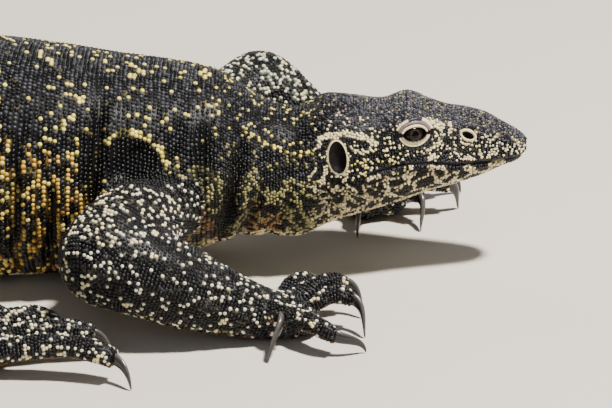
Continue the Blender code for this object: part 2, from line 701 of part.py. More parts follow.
def make_digit(foot, digit):
    """One toe, arched from the palm to the flat end that its claw grows from."""
    start, way, root, _, leaving = digit_course(foot, digit)
    arch = np.array((0.0, 0.0, DIGIT_ARCH))
    hold = digit.reach * DIGIT_GUIDE
    guides = (start, start + way * hold + arch, root - leaving * hold + DIGIT_END_ARCH * arch, root)
    share = np.linspace(0.0, 1.0, DIGIT_RINGS)
    path = bezier(guides, share)
    tangents, _, _ = frames(path)
    tangents[-1] = leaving
    knuckles = KNUCKLE_RISE * np.sin(share * KNUCKLE_WAVES * math.pi) ** 2
    size = digit.radius * (1 - (1 - DIGIT_END_SHARE) * share**2) + knuckles
    size[-1] = digit.radius * DIGIT_END_SHARE
    return loft("digit", tube_rings(path, size, size * DIGIT_FLATNESS, DIGIT_SIDES, tangents))


def make_claw(foot, digit, number):
    """A curved claw that leaves its digit's flat end and comes down to the floor."""
    _, _, root, tip, leaving = digit_course(foot, digit)
    start = root + leaving * GAP
    chord = np.linalg.norm(tip - start)
    drop = np.array((0.0, 0.0, CLAW_DROP * chord))
    guides = (start, start + leaving * CLAW_GUIDE * chord, tip + drop - leaving * CLAW_BACK * chord, tip)
    share = np.linspace(0.0, 1.0, CLAW_RINGS)
    path = bezier(guides, share)
    tangents, _, _ = frames(path)
    tangents[0] = leaving
    taper = (1 - share) ** CLAW_TAPER
    width = CLAW_TIP_RADIUS + (CLAW_HALF_WIDTH - CLAW_TIP_RADIUS) * taper
    height = CLAW_TIP_RADIUS + (CLAW_HALF_HEIGHT - CLAW_TIP_RADIUS) * taper
    rings = tube_rings(path, width, height, CLAW_SIDES, tangents)
    rings[..., 2] = np.maximum(rings[..., 2], 0.0)
    finish(loft(f"claw_{foot.name}_{number}", rings), CLAW_COLOUR, CLAW_ROUGHNESS)


def make_feet():
    for foot in HANDS_AND_FEET:
        rings = limb_rings(foot.places, foot.across, foot.upward, PALM_RINGS, LIMB_SIDES)
        palm = loft(foot.name, rings)
        combine(palm, [make_digit(foot, digit) for digit in foot.digits], "UNION")
        lower = LIMBS[foot.limb][1]
        cutter = limb_rings(lower.places, lower.across, lower.upward, lower.rings, LIMB_SIDES, GAP)
        combine(palm, [loft("cutter", cutter)], "DIFFERENCE")
        skin(combine(palm, [below_floor()], "DIFFERENCE"))
        for number, digit in enumerate(foot.digits, 1):
            make_claw(foot, digit, number)


clear_scene()
make_head()
make_body()
make_limbs()
make_feet()
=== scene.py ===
# %% [markdown]
# # A Nile monitor, scale by scale
# The solids hold the lizard's form. This lesson gives it a skin in one piece, tens of thousands of
# separate scales, wet dark eyes and horn claws. Every shape is a formula worked out on whole numpy
# arrays. The same named sizes as the solids' are used, in millimetres, so each piece lands on what
# carries it.

# %% Load the frame
import json
import math
from collections import namedtuple

import bpy
import numpy as np
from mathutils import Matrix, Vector

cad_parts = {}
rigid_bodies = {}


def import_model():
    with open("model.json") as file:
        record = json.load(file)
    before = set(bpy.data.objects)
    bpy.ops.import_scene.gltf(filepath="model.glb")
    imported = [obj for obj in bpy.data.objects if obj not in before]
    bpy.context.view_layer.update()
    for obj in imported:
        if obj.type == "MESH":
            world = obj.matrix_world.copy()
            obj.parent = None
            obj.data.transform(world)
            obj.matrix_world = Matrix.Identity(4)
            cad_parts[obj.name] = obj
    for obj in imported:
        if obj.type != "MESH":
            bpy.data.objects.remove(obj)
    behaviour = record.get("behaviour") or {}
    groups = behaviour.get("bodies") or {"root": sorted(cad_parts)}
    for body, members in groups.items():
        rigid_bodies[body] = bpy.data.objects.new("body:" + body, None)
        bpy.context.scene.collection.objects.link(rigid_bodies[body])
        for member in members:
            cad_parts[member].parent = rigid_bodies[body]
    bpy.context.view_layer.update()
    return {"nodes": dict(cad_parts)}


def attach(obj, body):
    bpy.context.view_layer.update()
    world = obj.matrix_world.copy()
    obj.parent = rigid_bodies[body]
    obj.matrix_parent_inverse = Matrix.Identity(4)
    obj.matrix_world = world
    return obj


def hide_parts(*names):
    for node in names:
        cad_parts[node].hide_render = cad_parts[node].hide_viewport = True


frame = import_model()
MM = 0.001
# The frame's zero in the design's millimetres, and how far the skin lies inside the solids.
ORIGIN = np.array((-433.474, 33.1, 0.0))
COAT_DEPTH = 0.55
rng = np.random.default_rng(7)

# %% [markdown]
# ## The body as a loft
# A lizard's trunk is a row of upright sections along a bent spine. Each section is a superellipse with
# its own top, bottom and width. A monotone cubic runs through the named landmarks, so the outline never
# bulges between them. A modeller could also push vertices by hand; a formula lets skin and scales share
# one surface.

# %% Landmarks of the body
# Each row: x, y, top, bottom, half width, level of the widest part, power above it and power below it.
BODY = np.array((
    (168.4, -1, 63.8, 59, 2.6, 0.50, 2, 2),
    (166.4, -1, 66, 56, 6, 0.48, 2.1, 2),
    (163, -1, 68.2, 53.6, 9, 0.46, 2.3, 2),
    (157, -1, 71.3, 50.4, 11.6, 0.44, 2.5, 2),
    (146.6, -0.5, 76.2, 45.4, 14.6, 0.42, 2.6, 2.1),
    (132, 0, 78.2, 40.6, 18.4, 0.42, 2.7, 2.1),
    (122, 0, 81.2, 38.2, 21.6, 0.42, 2.7, 2.1),
    (111, 0, 83.6, 34.2, 25, 0.42, 2.6, 2.1),
    (99, 0, 81.2, 30.4, 27.4, 0.44, 2.5, 2.1),
    (86, 0, 83.2, 26, 28, 0.47, 2.3, 2.1),
    (74, 0, 84.6, 21.4, 27.2, 0.50, 2.2, 2.1),
    (58, 0, 77.8, 15, 28.2, 0.50, 2.1, 2.1),
    (48, 0, 79.6, 15.8, 29.6, 0.50, 2.1, 2.1),
    (36, 0, 86, 16.4, 33.8, 0.50, 2.1, 2.1),
    (20, 0, 95.6, 13, 41.5, 0.49, 2.1, 2.1),
    (0, 0.5, 99.2, 7, 49, 0.47, 2.1, 2.2),
    (-28, 1, 102.6, 3, 55, 0.45, 2.1, 2.2),
    (-56, 2, 106.5, 0.6, 59.5, 0.44, 2.1, 2.3),
    (-90, 5, 109, -0.8, 62.5, 0.43, 2.1, 2.4),
    (-125, 8, 109, -1.2, 63, 0.43, 2.1, 2.4),
    (-160, 8.5, 105.5, -1.2, 61, 0.43, 2.1, 2.4),
    (-200, 5, 98, -0.4, 54.5, 0.44, 2.1, 2.3),
    (-235, -1, 89, 3.6, 45.5, 0.46, 2.1, 2.2),
    (-265, -8, 82, 8, 38, 0.48, 2, 2.1),
    (-295, -15, 73, 8, 31, 0.47, 1.9, 2.1),
    (-325, -23, 63, 4, 25, 0.45, 1.8, 2.1),
    (-365, -32, 53, -0.2, 20, 0.43, 1.7, 2.1),
    (-425, -40, 44, -0.6, 16, 0.42, 1.6, 2.1),
    (-505, -38, 35.5, -0.6, 12.4, 0.42, 1.6, 2.1),
    (-600, -18, 28, -0.5, 9.4, 0.42, 1.6, 2.1),
    (-700, 8, 21.5, -0.4, 7, 0.42, 1.6, 2.1),
    (-800, 20, 15.8, -0.3, 5, 0.43, 1.7, 2.1),
    (-890, 11, 10.8, -0.2, 3.4, 0.45, 1.8, 2.1),
    (-970, -14, 6.6, -0.1, 2.2, 0.48, 1.9, 2.1),
    (-1035, -48, 3.2, 0, 1.2, 0.50, 2, 2),
))
print("stations of the body:", len(BODY))

# %% [markdown]
# ## Reading the landmarks
# The cubic keeps each value between those of its neighbours. It is read at many places once, into a fine
# table, and every later question along the spine is a quick straight reading of that table.

# %% Values along the spine
FINE_PLACES = 2400


def smooth_values(knots, rows, at):
    """The rows read at other places through a monotone cubic, whose slopes are harmonic means."""
    knots = np.asarray(knots, float)
    rows = np.asarray(rows, float).reshape(len(knots), -1)
    at = np.atleast_1d(np.asarray(at, float))
    step = np.diff(knots)[:, None]
    slope = np.diff(rows, axis=0) / step
    before, after = slope[:-1], slope[1:]
    early = 2 * step[1:] + step[:-1]
    late = step[1:] + 2 * step[:-1]
    same_way = before * after > 0
    lean = (early + late) / (early / np.where(same_way, before, 1.0) + late / np.where(same_way, after, 1.0))
    tangent = np.vstack((slope[:1], np.where(same_way, lean, 0.0), slope[-1:]))
    span = np.clip(np.searchsorted(knots, at, side="right") - 1, 0, len(step) - 1)
    width = step[span]
    u = (at[:, None] - knots[span][:, None]) / width
    lift = (1 + 2 * u) * (1 - u) ** 2 * rows[span] + u * u * (3 - 2 * u) * rows[span + 1]
    return lift + width * (u * (1 - u) ** 2 * tangent[span] - u * u * (1 - u) * tangent[span + 1])


def along(points):
    """The distance of each point from the first along the chain."""
    steps = np.linalg.norm(np.diff(np.asarray(points, float), axis=0), axis=1)
    return np.concatenate(((0.0,), np.cumsum(steps)))


BODY_KNOTS = along(BODY[:, :2])
BODY_LENGTH = BODY_KNOTS[-1]
FINE = np.linspace(0.0, BODY_LENGTH, FINE_PLACES)
FINE_ROWS = smooth_values(BODY_KNOTS, BODY, FINE)
FINE_WAY = -np.gradient(FINE_ROWS[:, :2], FINE, axis=0)
FINE_WAY /= np.linalg.norm(FINE_WAY, axis=1)[:, None]
FINE_ROWS = np.column_stack((FINE_ROWS, FINE_WAY))


def body_values(place):
    """Station values and forward direction at each place along the spine, read from a fine table."""
    return [np.interp(place, FINE, column) for column in FINE_ROWS.T]


def body_place(x):
    """How far along the spine the body reaches a given x."""
    return np.interp(-np.asarray(x, float), -FINE_ROWS[:, 0], FINE)


print("body length along the spine, mm:", round(BODY_LENGTH))

# %% [markdown]
# ## Swellings and folds
# Brow, cheek and the hollow before the eye are soft swellings: a bell curve of place and angle. A fold of
# skin is a groove with a low ridge on each side, along a leaning line on the flank or neck. Sculpting
# would do as well, but as formulas they move skin and scales alike.

# %% Swellings, hollows and folds
Swelling = namedtuple("Swelling", "x angle along around height")
HEAD_FORMS = [Swelling(*row) for row in (
    (112, 52, 8.5, 15, 2.4), (137, 55, 10, 13, 1.1), (88, -6, 11, 30, 1.8), (129, 22, 6.5, 16, -1.7),
    (98, 34, 7, 13, -1.2),
)]
# A fold's lean is the x gained for each mm of height. Its side is -1 for right, 1 for left and 0 for both.
Fold = namedtuple("Fold", "x low high lean depth width side")
FOLDS = [Fold(*row) for row in (
    (-36, 46, 94, 0.08, 3.2, 3, -1), (-37, 46, 90, 0.06, 2.2, 3, 1), (27, 22, 74, 0.24, 3.2, 3, 0),
    (37, 18, 56, 0.34, 2, 2.6, 0), (12, 30, 82, 0.16, 2.4, 3, 0), (-2, 52, 88, 0.30, 1.6, 2.8, 0),
    (50, 16, 46, 0.40, 1.2, 2.4, 0), (-57, 16, 62, 0.05, 2.4, 2.6, 0), (-74, 12, 74, 0.02, 2.2, 2.8, 0),
    (-93, 14, 64, -0.03, 1.6, 2.6, 0), (-118, 12, 70, -0.05, 1.4, 2.8, 0),
    (-205, 20, 66, -0.30, 2.2, 3, 0), (-228, 24, 60, -0.34, 1.6, 3, 0),
)]
RIDGE_OFFSET, RIDGE_SHARE = 1.9, 0.45
FLANK_WAVE, FLANK_WAVELENGTH = 0.32, 8.5
BOWL, SHOULDER_BOWL = (0.55, 1.05), (0.35, 1.15)
Hollow = namedtuple("Hollow", "x z along up tilt depth")
SHOULDER_HOLLOW = Hollow(-19, 68, 15, 12, -20, 4)
EYE = Hollow(114.4, 73.0, 5.9, 4.3, 0, 3.4)
NOSTRIL = Hollow(140.6, 69.8, 3.5, 1.9, -24, 2.8)
EAR = Hollow(78.0, 63.0, 4.3, 7.7, 6, 2.4)


def bell(distance):
    """A bell curve: e to the power of minus the square of the distance."""
    return np.exp(-distance * distance)


def ramp(value, low, high):
    """0 below low, 1 above high, and an even S between."""
    u = np.clip((np.asarray(value, float) - low) / (high - low), 0.0, 1.0)
    return u * u * (3 - 2 * u)


def above_side(turn):
    """The angle above the side, the same on the right and on the left."""
    return np.arctan2(np.sin(turn), np.abs(np.cos(turn)))


def hollow_measure(hollow, x, z):
    """Distance from a hollow's middle in its own tilted axes, where one is its margin."""
    lean = math.radians(hollow.tilt)
    u = (x - hollow.x) * math.cos(lean) + (z - hollow.z) * math.sin(lean)
    v = (z - hollow.z) * math.cos(lean) - (x - hollow.x) * math.sin(lean)
    return np.sqrt((u / hollow.along) ** 2 + (v / hollow.up) ** 2)


def hollow_push(hollows, x, z, floor, margin):
    """A bowl in each hollow: full depth within the floor's share of it, and level past the margin's."""
    push = np.zeros_like(x)
    for hollow in hollows:
        push -= hollow.depth * (1 - ramp(hollow_measure(hollow, x, z), floor, margin))
    return push


print("hollows, mm deep: eye", EYE.depth, "nostril", NOSTRIL.depth, "ear", EAR.depth)

# %% [markdown]
# ## How far the skin moves
# Swellings add up as bell curves. Each fold has a line that leans with the height and a fade at both
# ends, so that it dies out in the flank as a real crease does.

# %% Pushes of head and folds
def head_push(x, angle):
    """Outward push of the head's swellings: a sum of bell curves of x and of the angle above the side."""
    above = np.degrees(above_side(angle))
    push = np.zeros_like(above)
    for form in HEAD_FORMS:
        away = ((x - form.x) / form.along) ** 2 + ((above - form.angle) / form.around) ** 2
        push += form.height * np.exp(-away)
    return push


def fold_lines(x, leftward, z):
    """Each fold with, for all points, how many widths off its line they lie and a fade towards its ends."""
    for fold in FOLDS:
        off = (x - fold.x - fold.lean * (z - 0.5 * (fold.low + fold.high))) / fold.width
        fade = ramp(z, fold.low - 8, fold.low + 10) * (1 - ramp(z, fold.high - 12, fold.high + 8))
        yield fold, off, fade * np.where((fold.side == 0) | (leftward * fold.side > 0), 1.0, 0.0)


def fold_push(x, leftward, z):
    """Outward push of the folds, a groove between two ridges, with the shoulder's hollow and a low wave."""
    push = np.zeros_like(x)
    for fold, off, fade in fold_lines(x, leftward, z):
        groove = -bell(off) + RIDGE_SHARE * bell(off - RIDGE_OFFSET) + RIDGE_SHARE * bell(off + RIDGE_OFFSET)
        push += fade * fold.depth * groove
    trunk = ramp(-x, -20, 20) * (1 - ramp(-x, 200, 260)) * ramp(z, 10, 30) * (1 - ramp(z, 80, 100))
    wave = np.sin(2 * math.pi * (x + 4 * np.sin(z / 17.0 + x / 31.0)) / FLANK_WAVELENGTH)
    return push + hollow_push([SHOULDER_HOLLOW], x, z, *SHOULDER_BOWL) + FLANK_WAVE * trunk * wave


def fold_shade(x, leftward, z):
    """Painted shade in a fold: 1 along the line of a deep fold, fading over its walls."""
    shade = np.zeros_like(x)
    for fold, off, fade in fold_lines(x, leftward, z):
        shade = np.maximum(shade, fade * ramp(fold.depth, 1.0, 3.4) * bell(off / 1.6))
    return shade


print("folds:", len(FOLDS), "head swellings:", len(HEAD_FORMS))

# %% [markdown]
# ## Mouth, lips and the surface of the body
# The line of the mouth is a curve of height over x. The lips are a roll on each side of it. Some turns
# round the head are bent so that one of them follows the mouth, which keeps the lips sharp on a coarse
# mesh.

# %% Surface of the body
MOUTH_X = (88.0, 98.6, 109.0, 119.0, 127.4, 136.0, 147.0, 163.5, 176.0)
MOUTH_Z = (53.0, 57.4, 59.4, 59.2, 57.8, 56.2, 56.4, 57.0, 57.2)
MOUTH_TURN = math.radians(-14.0)
LIP_RISE, LIP_SPREAD, LIP_OFFSET = 1.1, 1.5, 1.9
GROOVE_DEPTH, GROOVE_SPREAD = 1.5, 0.55


def mouth_height(x):
    """The height of the line of the mouth at x, level past its first and last points."""
    return smooth_values(MOUTH_X, MOUTH_Z, np.clip(x, MOUTH_X[0], MOUTH_X[-1]))[:, 0]


def lip_push(x, z):
    """Lips: a roll above and below the line of the mouth, and a groove along it, from corner to snout."""
    off = z - mouth_height(x)
    on_mouth = ramp(x, MOUTH_X[0] - 1, MOUTH_X[0] + 9)
    rolls = LIP_RISE * (bell((off - LIP_OFFSET) / LIP_SPREAD) + bell((off + LIP_OFFSET) / LIP_SPREAD))
    return on_mouth * (rolls - GROOVE_DEPTH * bell(off / GROOVE_SPREAD))


def mouth_bend(x, turn, middle, bottom, lower):
    """How far each turn shifts so that the turn called MOUTH_TURN meets the line of the mouth."""
    above = above_side(turn)
    drop = np.clip((middle - mouth_height(x)) / (middle - bottom), -0.6, 0.985)
    wanted = -np.sign(drop) * np.arcsin(np.abs(drop) ** (lower / 2.0))
    shift = (wanted - MOUTH_TURN) * ramp(x, 66, 88)
    quarter = math.pi / 2
    share = np.where(above < MOUTH_TURN, (above + quarter) / (MOUTH_TURN + quarter),
                     (quarter - above) / (quarter - MOUTH_TURN))
    return shift * share * np.where(np.cos(turn) >= 0, 1.0, -1.0)


def body_surface(place, turn, hollows=True):
    """A point of the body for each place along the spine and turn round it, inside the coat.

    A superellipse section: across is the cosine and rise the sine of the turn, each raised to a power that
    squares the section. Then the point moves out by the pushes of swellings, lips, folds and hollows.
    """
    x, y, top, bottom, half_width, waist, upper, lower, way_x, way_y = body_values(place)
    middle = bottom + waist * (top - bottom)
    angle = turn + mouth_bend(x, turn, middle, bottom, lower)
    across, rise = np.cos(angle), np.sin(angle)
    power = 2.0 / np.where(rise > 0, upper, lower)
    half_height = np.where(rise > 0, top - middle, middle - bottom)
    lateral = half_width * np.sign(across) * np.abs(across) ** power
    height = middle + half_height * np.sign(rise) * np.abs(rise) ** power
    on_head = ramp(x, 52, 62)
    push = on_head * (head_push(x, angle) + lip_push(x, height)) - COAT_DEPTH
    push = push + fold_push(x - lateral * way_y, lateral * way_x, height)
    if hollows:
        on_side = np.where(np.abs(across) > 0.4, 1.0, 0.0)
        push = push + on_head * hollow_push((EYE, NOSTRIL, EAR), x, height, *BOWL) * on_side
    lateral = lateral + push * across
    height = np.maximum(height + push * rise, COAT_DEPTH)
    return np.stack((x - lateral * way_y, y + lateral * way_x, height), axis=-1)


print("mouth from x", MOUTH_X[0], "to the snout")

# %% [markdown]
# ## Limbs, hands and feet
# A limb is a chain of sections square to a bent path. A hand is a flat palm with five arched digits.
# Every digit is described by where it starts, where it heads, how far it reaches, and how its claw turns.

# %% Places and sizes of the limbs
# Each row: name, places of four joints, and the half width and half height at each.
SEGMENTS = (
    ("upper_arm_right", ((-5, -30, 50), (-9, -51, 43), (-20, -74, 45), (-30, -90, 39)),
     (21, 18.5, 21, 21), (20, 17.5, 22, 21)),
    ("forearm_right", ((-29, -92, 38), (-9, -96, 32), (11, -96, 24), (31, -95, 16)),
     (18, 20.5, 19, 13), (18.5, 20.5, 18.5, 12)),
    ("upper_arm_left", ((2, 32, 53), (8, 50, 51), (24, 70, 52), (40, 86, 53)),
     (22, 21, 18, 19), (23, 21, 18, 19.5)),
    ("forearm_left", ((40, 86, 53), (54, 81, 45), (72, 71, 30), (86, 63, 17)),
     (17, 18, 16, 12), (17, 18, 16, 11)),
    ("thigh_right", ((-262, -20, 46), (-256, -44, 48), (-231, -71, 55), (-203, -94, 57)),
     (27, 27, 25, 19), (30, 29, 25, 19)),
    ("shin_right", ((-203, -94, 57), (-184, -103, 46), (-160, -113, 31), (-136, -121, 18)),
     (17, 18, 15, 11), (17, 18, 15, 11)),
    ("thigh_left", ((-266, 10, 46), (-260, 34, 48), (-248, 68, 50), (-234, 102, 50)),
     (27, 27, 25, 19), (30, 29, 25, 19)),
    ("shin_left", ((-234, 102, 50), (-252, 113, 42), (-276, 127, 30), (-296, 140, 19)),
     (17, 18, 15, 11), (17, 18, 15, 11)),
)
Digit = namedtuple("Digit", "forward outward heading reach end claw_heading claw_reach radius")
RIGHT_HAND = [Digit(*row) for row in (
    (2, -10, -50, 24, 15, -30, 10, 4.9), (7, -6, -30, 31, 16, 27, 10, 5.1),
    (8, 0, -7, 29, 16, 56, 12, 5.2), (6, 6, 42, 31, 10, -12, 15, 5.1), (-3, 5, 66, 18, 17, 112, 15, 4.9),
)]
LEFT_HAND = [Digit(*row) for row in (
    (2, -9, -100, 15, 13, -98, 10, 4.9), (8, -5, -26, 22, 15, -82, 10, 5.1),
    (10, 1, -2, 32, 15, 40, 8, 5.2), (8, 7, 22, 34, 15, 31, 12, 5.1), (2, 11, 60, 24, 13, 62, 12, 4.9),
)]
FEET = [Digit(*row) for row in (
    (-4, -11, -60, 29, 11, -58, 12, 5.8), (1, -8, -33, 38, 12, -50, 13, 6.1),
    (4, 2, -10, 53, 12, 9, 9, 6.3), (2, 11, 8, 65, 12, 47, 13, 6.4), (-12, 9, 66, 33, 11, 70, 12, 5.8),
)]
Foot = namedtuple("Foot", "name side centre heading places across upward digits")
HANDS_AND_FEET = (
    Foot("hand_right", -1, (47, -89), 0,
         ((23, -94, 18), (36, -92, 13), (47, -90, 10), (57, -89, 8)), (11, 14, 16, 13), (10, 12, 11, 7.5),
         RIGHT_HAND),
    Foot("hand_left", 1, (90, 60), 0,
         ((80, 65, 21), (86, 62, 14), (92, 60, 10), (101, 60, 8)), (11, 13, 15.5, 12), (10, 12, 11, 7.5),
         LEFT_HAND),
    Foot("foot_right", -1, (-92, -126), 0,
         ((-144, -118, 21), (-128, -122, 14), (-108, -125, 9), (-88, -126, 7)), (9, 11, 15, 14),
         (9, 11, 9.5, 7.5), FEET),
    Foot("foot_left", 1, (-262, 166), 50,
         ((-300, 136, 21), (-290, 145, 14), (-275, 155, 9), (-260, 168, 7)), (9, 11, 15, 14),
         (9, 11, 9.5, 7.5), FEET),
)
print("limb segments:", len(SEGMENTS), "hands and feet:", len(HANDS_AND_FEET))

# %% [markdown]
# ## From places to paths
# The joints give a limb its path and its radii through the same monotone cubic as the body's. A digit is
# a cubic curve with four guides, arched over the floor like a bent finger, with two low knuckles.

# %% Paths of limbs and digits
DIGIT_START_HEIGHT, DIGIT_ARCH, DIGIT_END_SHARE = 8.5, 6.0, 0.78
KNUCKLE_RISE, DIGIT_FLATNESS, DIGIT_LEAN = 0.45, 0.95, 0.35
DIGIT_PULL, CLAW_PULL, CLAW_DIP, CLAW_TIP_RADIUS = 0.7, 0.5, 0.25, 0.4
Chain = namedtuple("Chain", "name path across upward length turn_in")


def chain_of(samples, name, places, across, upward):
    """A limb as a dense path with its two radii, through the same monotone cubic as the solids'."""
    rows = smooth_values(along(places), np.column_stack((places, across, upward)),
                         np.linspace(0.0, along(places)[-1], samples))
    return Chain(name, rows[:, :3], rows[:, 3], rows[:, 4], along(rows[:, :3])[-1], None)


def turned(degrees):
    """The level way at an angle: its cosine ahead and its sine to the left."""
    return np.array((math.cos(math.radians(degrees)), math.sin(math.radians(degrees)), 0.0))


def bezier(points, share):
    """A cubic curve with four guide points, read at these shares of its way."""
    a, b, c, d = (np.asarray(p, float) for p in points)
    u = np.asarray(share)[:, None]
    return (1 - u) ** 3 * a + 3 * u * (1 - u) ** 2 * b + 3 * u * u * (1 - u) * c + u**3 * d


def digit_course(foot, digit):
    """Where a digit and its claw run: start, heading, claw root, claw tip, and the way the claw leaves."""
    start = np.array((*foot.centre, DIGIT_START_HEIGHT))
    start += digit.forward * turned(foot.heading) + digit.outward * turned(foot.heading + foot.side * 90.0)
    way = turned(foot.heading + foot.side * digit.heading)
    claw_way = turned(foot.heading + foot.side * digit.claw_heading)
    root = start + way * digit.reach
    root[2] = digit.end
    tip = root + claw_way * digit.claw_reach
    tip[2] = CLAW_TIP_RADIUS
    leaving = DIGIT_PULL * way + CLAW_PULL * claw_way + np.array((0.0, 0.0, -CLAW_DIP))
    return start, way, root, tip, leaving / np.linalg.norm(leaving)


def digit_chain(foot, digit, number, samples=15):
    """A digit's arched path, with two low knuckles along it and a slimmer end."""
    start, way, root, _, leaving = digit_course(foot, digit)
    arch = np.array((0.0, 0.0, DIGIT_ARCH))
    guides = (start, start + way * digit.reach * DIGIT_LEAN + arch,
              root - leaving * digit.reach * DIGIT_LEAN + 0.4 * arch, root)
    share = np.linspace(0.0, 1.0, samples)
    path = bezier(guides, share)
    knuckles = KNUCKLE_RISE * np.sin(share * 3 * math.pi) ** 2
    size = digit.radius * (1 - (1 - DIGIT_END_SHARE) * share**2) + knuckles
    return Chain(f"{foot.name}_digit_{number}", path, size, size * DIGIT_FLATNESS, along(path)[-1], leaving)


LIMBS = [chain_of(12, *segment) for segment in SEGMENTS]
PALMS = [chain_of(9, f.name, f.places, f.across, f.upward) for f in HANDS_AND_FEET]
DIGITS = [digit_chain(f, d, n) for f in HANDS_AND_FEET for n, d in enumerate(f.digits, 1)]
CHAINS = LIMBS + PALMS + DIGITS
print("limb segments", len(LIMBS), "palms", len(PALMS), "digits", len(DIGITS))

# %% [markdown]
# ## A surface for each chain
# The place runs from one rounded end to the other and the turn goes round. Past the first and last joint
# the radii shrink like those of a ball, so each chain is a closed sausage.

# %% Chain surfaces
DIGIT_BLUNTNESS, ALMOST_ONE = 0.5, 0.9999


def blunt(chain):
    """How far the far end bulges, in radii: digits end blunt under the claw, limbs as a half ball."""
    return DIGIT_BLUNTNESS if chain.turn_in is not None else 1.0


def path_frames(path, end, end_way):
    """Tangent, level side and up direction at each point of a path, with a set tangent at one end."""
    tangent = np.gradient(path, axis=0)
    tangent /= np.linalg.norm(tangent, axis=1)[:, None]
    if end_way is not None:
        tangent[end] = end_way
    side = np.cross(tangent, (0.0, 0.0, 1.0))
    side /= np.linalg.norm(side, axis=1)[:, None]
    return tangent, side, np.cross(side, tangent)


def chain_surface(chain, place, turn):
    """A point of the chain's skin: its centre plus cosine across and sine upward, less the coat."""
    knots = along(chain.path)
    frames = path_frames(chain.path, -1, chain.turn_in)
    columns = np.column_stack((chain.path, chain.across, chain.upward, *frames)).T
    read = [np.interp(place, knots, column) for column in columns]
    centre = np.stack(read[:3], axis=-1)
    tangent, side, up = (np.stack(read[k:k + 3], axis=-1) for k in (5, 8, 11))
    across, upward = read[3] - COAT_DEPTH, read[4] - COAT_DEPTH
    beyond = np.where(place < 0, place, np.where(place > chain.length, place - chain.length, 0.0))
    past = beyond / across
    past = np.clip(past / np.where(past > 0, blunt(chain), 1.0), -ALMOST_ONE, ALMOST_ONE)
    shrink = np.sqrt(1 - past * past)
    centre = centre + tangent * beyond[..., None]
    point = centre + side * (across * shrink * np.cos(turn))[..., None]
    point = point + up * (upward * shrink * np.sin(turn))[..., None]
    point[..., 2] = np.maximum(point[..., 2], COAT_DEPTH)
    return point


def chain_span(chain):
    """The places at which a chain's two rounded ends close."""
    return -chain.across[0] + COAT_DEPTH, chain.length + blunt(chain) * (chain.across[-1] - COAT_DEPTH)


print("chains in all:", len(CHAINS))

# %% [markdown]
# ## One smooth field for the whole animal
# Where a leg meets the flank, living skin runs over in a soft hollow, not a crease. A smooth minimum of
# distances gives that hollow. Any point near a junction slides along the field's slope until its value is
# zero. A voxel remesh would weld the shapes too, but it would lose the fine lips and lids.

# %% Distances and the smooth union
LIMB_BLEND, PALM_BLEND, DIGIT_BLEND, SECTION_STEPS = 12.0, 8.0, 4.5, 3
FAR, LEAST_MEASURE, REACH_MARGIN = 1000.0, 0.05, 6.0


def body_section(p):
    """Where each point lies in its own section, which is found in three steps along the spine.

    The values are the place, the spine's y, how far across and above the widest level the point is, the half
    width, the half heights above and below that level, and the two powers.
    """
    place = body_place(p[:, 0])
    for _ in range(SECTION_STEPS):
        x, y, *_, way_x, way_y = body_values(place)
        place = np.clip(place - ((p[:, 0] - x) * way_x + (p[:, 1] - y) * way_y), 0.0, BODY_LENGTH)
    x, y, top, bottom, half_width, waist, upper, lower, way_x, way_y = body_values(place)
    lateral = (p[:, 1] - y) * way_x - (p[:, 0] - x) * way_y
    middle = bottom + waist * (top - bottom)
    return place, y, lateral, p[:, 2] - middle, half_width, top - middle, middle - bottom, upper, lower


def body_distance(p):
    """How far each point is from the skin, measured out from the middle of its section.

    It is the point's distance from that middle, times one less the inverse of the superellipse's measure.
    """
    _, y, lateral, rise, half_width, over, under, upper, lower = body_section(p)
    power = np.where(rise > 0, upper, lower)
    upright = np.abs(rise / np.where(rise > 0, over, under)) ** power
    measure = (np.abs(lateral / half_width) ** power + upright) ** (1 / power)
    distance = np.sqrt(lateral * lateral + rise * rise) * (1 - 1 / np.maximum(measure, LEAST_MEASURE))
    return distance - fold_push(p[:, 0], p[:, 1] - y, p[:, 2]) + COAT_DEPTH


def chain_distance(chain, p):
    """Distance to the nearest span of a chain, each an ellipse, by the same rule as the body's."""
    reach = chain.across.max() + LIMB_BLEND + REACH_MARGIN
    near = np.all((p > chain.path.min(axis=0) - reach) & (p < chain.path.max(axis=0) + reach), axis=1)
    best = np.full(len(p), FAR)
    q = p[near]
    found = np.full(len(q), FAR)
    for k in range(len(chain.path) - 1):
        start, step = chain.path[k], chain.path[k + 1] - chain.path[k]
        span = np.linalg.norm(step)
        way = step / span
        share = np.clip((q - start) @ way / span, 0.0, 1.0)
        off = q - start - share[:, None] * step
        across = chain.across[k] + share * (chain.across[k + 1] - chain.across[k]) - COAT_DEPTH
        upward = chain.upward[k] + share * (chain.upward[k + 1] - chain.upward[k]) - COAT_DEPTH
        side = np.cross(way, (0.0, 0.0, 1.0))
        side /= np.linalg.norm(side)
        up = np.cross(side, way)
        measure = np.sqrt((off @ side / across) ** 2 + (off @ up / upward) ** 2 + (off @ way / across) ** 2)
        distance = np.linalg.norm(off, axis=1) * (1 - 1 / np.maximum(measure, LEAST_MEASURE))
        found = np.minimum(found, distance)
    best[near] = found
    return best


def nearest(p, own=None):
    """Distance to the nearest shape but its own, and which it is: 0 is the body, 1 the first chain."""
    best = np.full(len(p), FAR) if own == "body" else body_distance(p)
    owner = np.zeros(len(p), int)
    for number, chain in enumerate(CHAINS, 1):
        if chain is not own:
            away = chain_distance(chain, p)
            owner[away < best] = number
            best = np.minimum(best, away)
    return best, owner


print("shapes to measure:", 1 + len(CHAINS))

# %% [markdown]
# ## The smooth union
# Two distances blend where they are nearly equal, and the result is a little less than both. Sliding a
# point down the slope of that value finds the blended skin without building it.

# %% Smooth union and slide
SLIDES, LONGEST_SLIDE, LEAST_SLOPE = 3, 6.0, 0.2


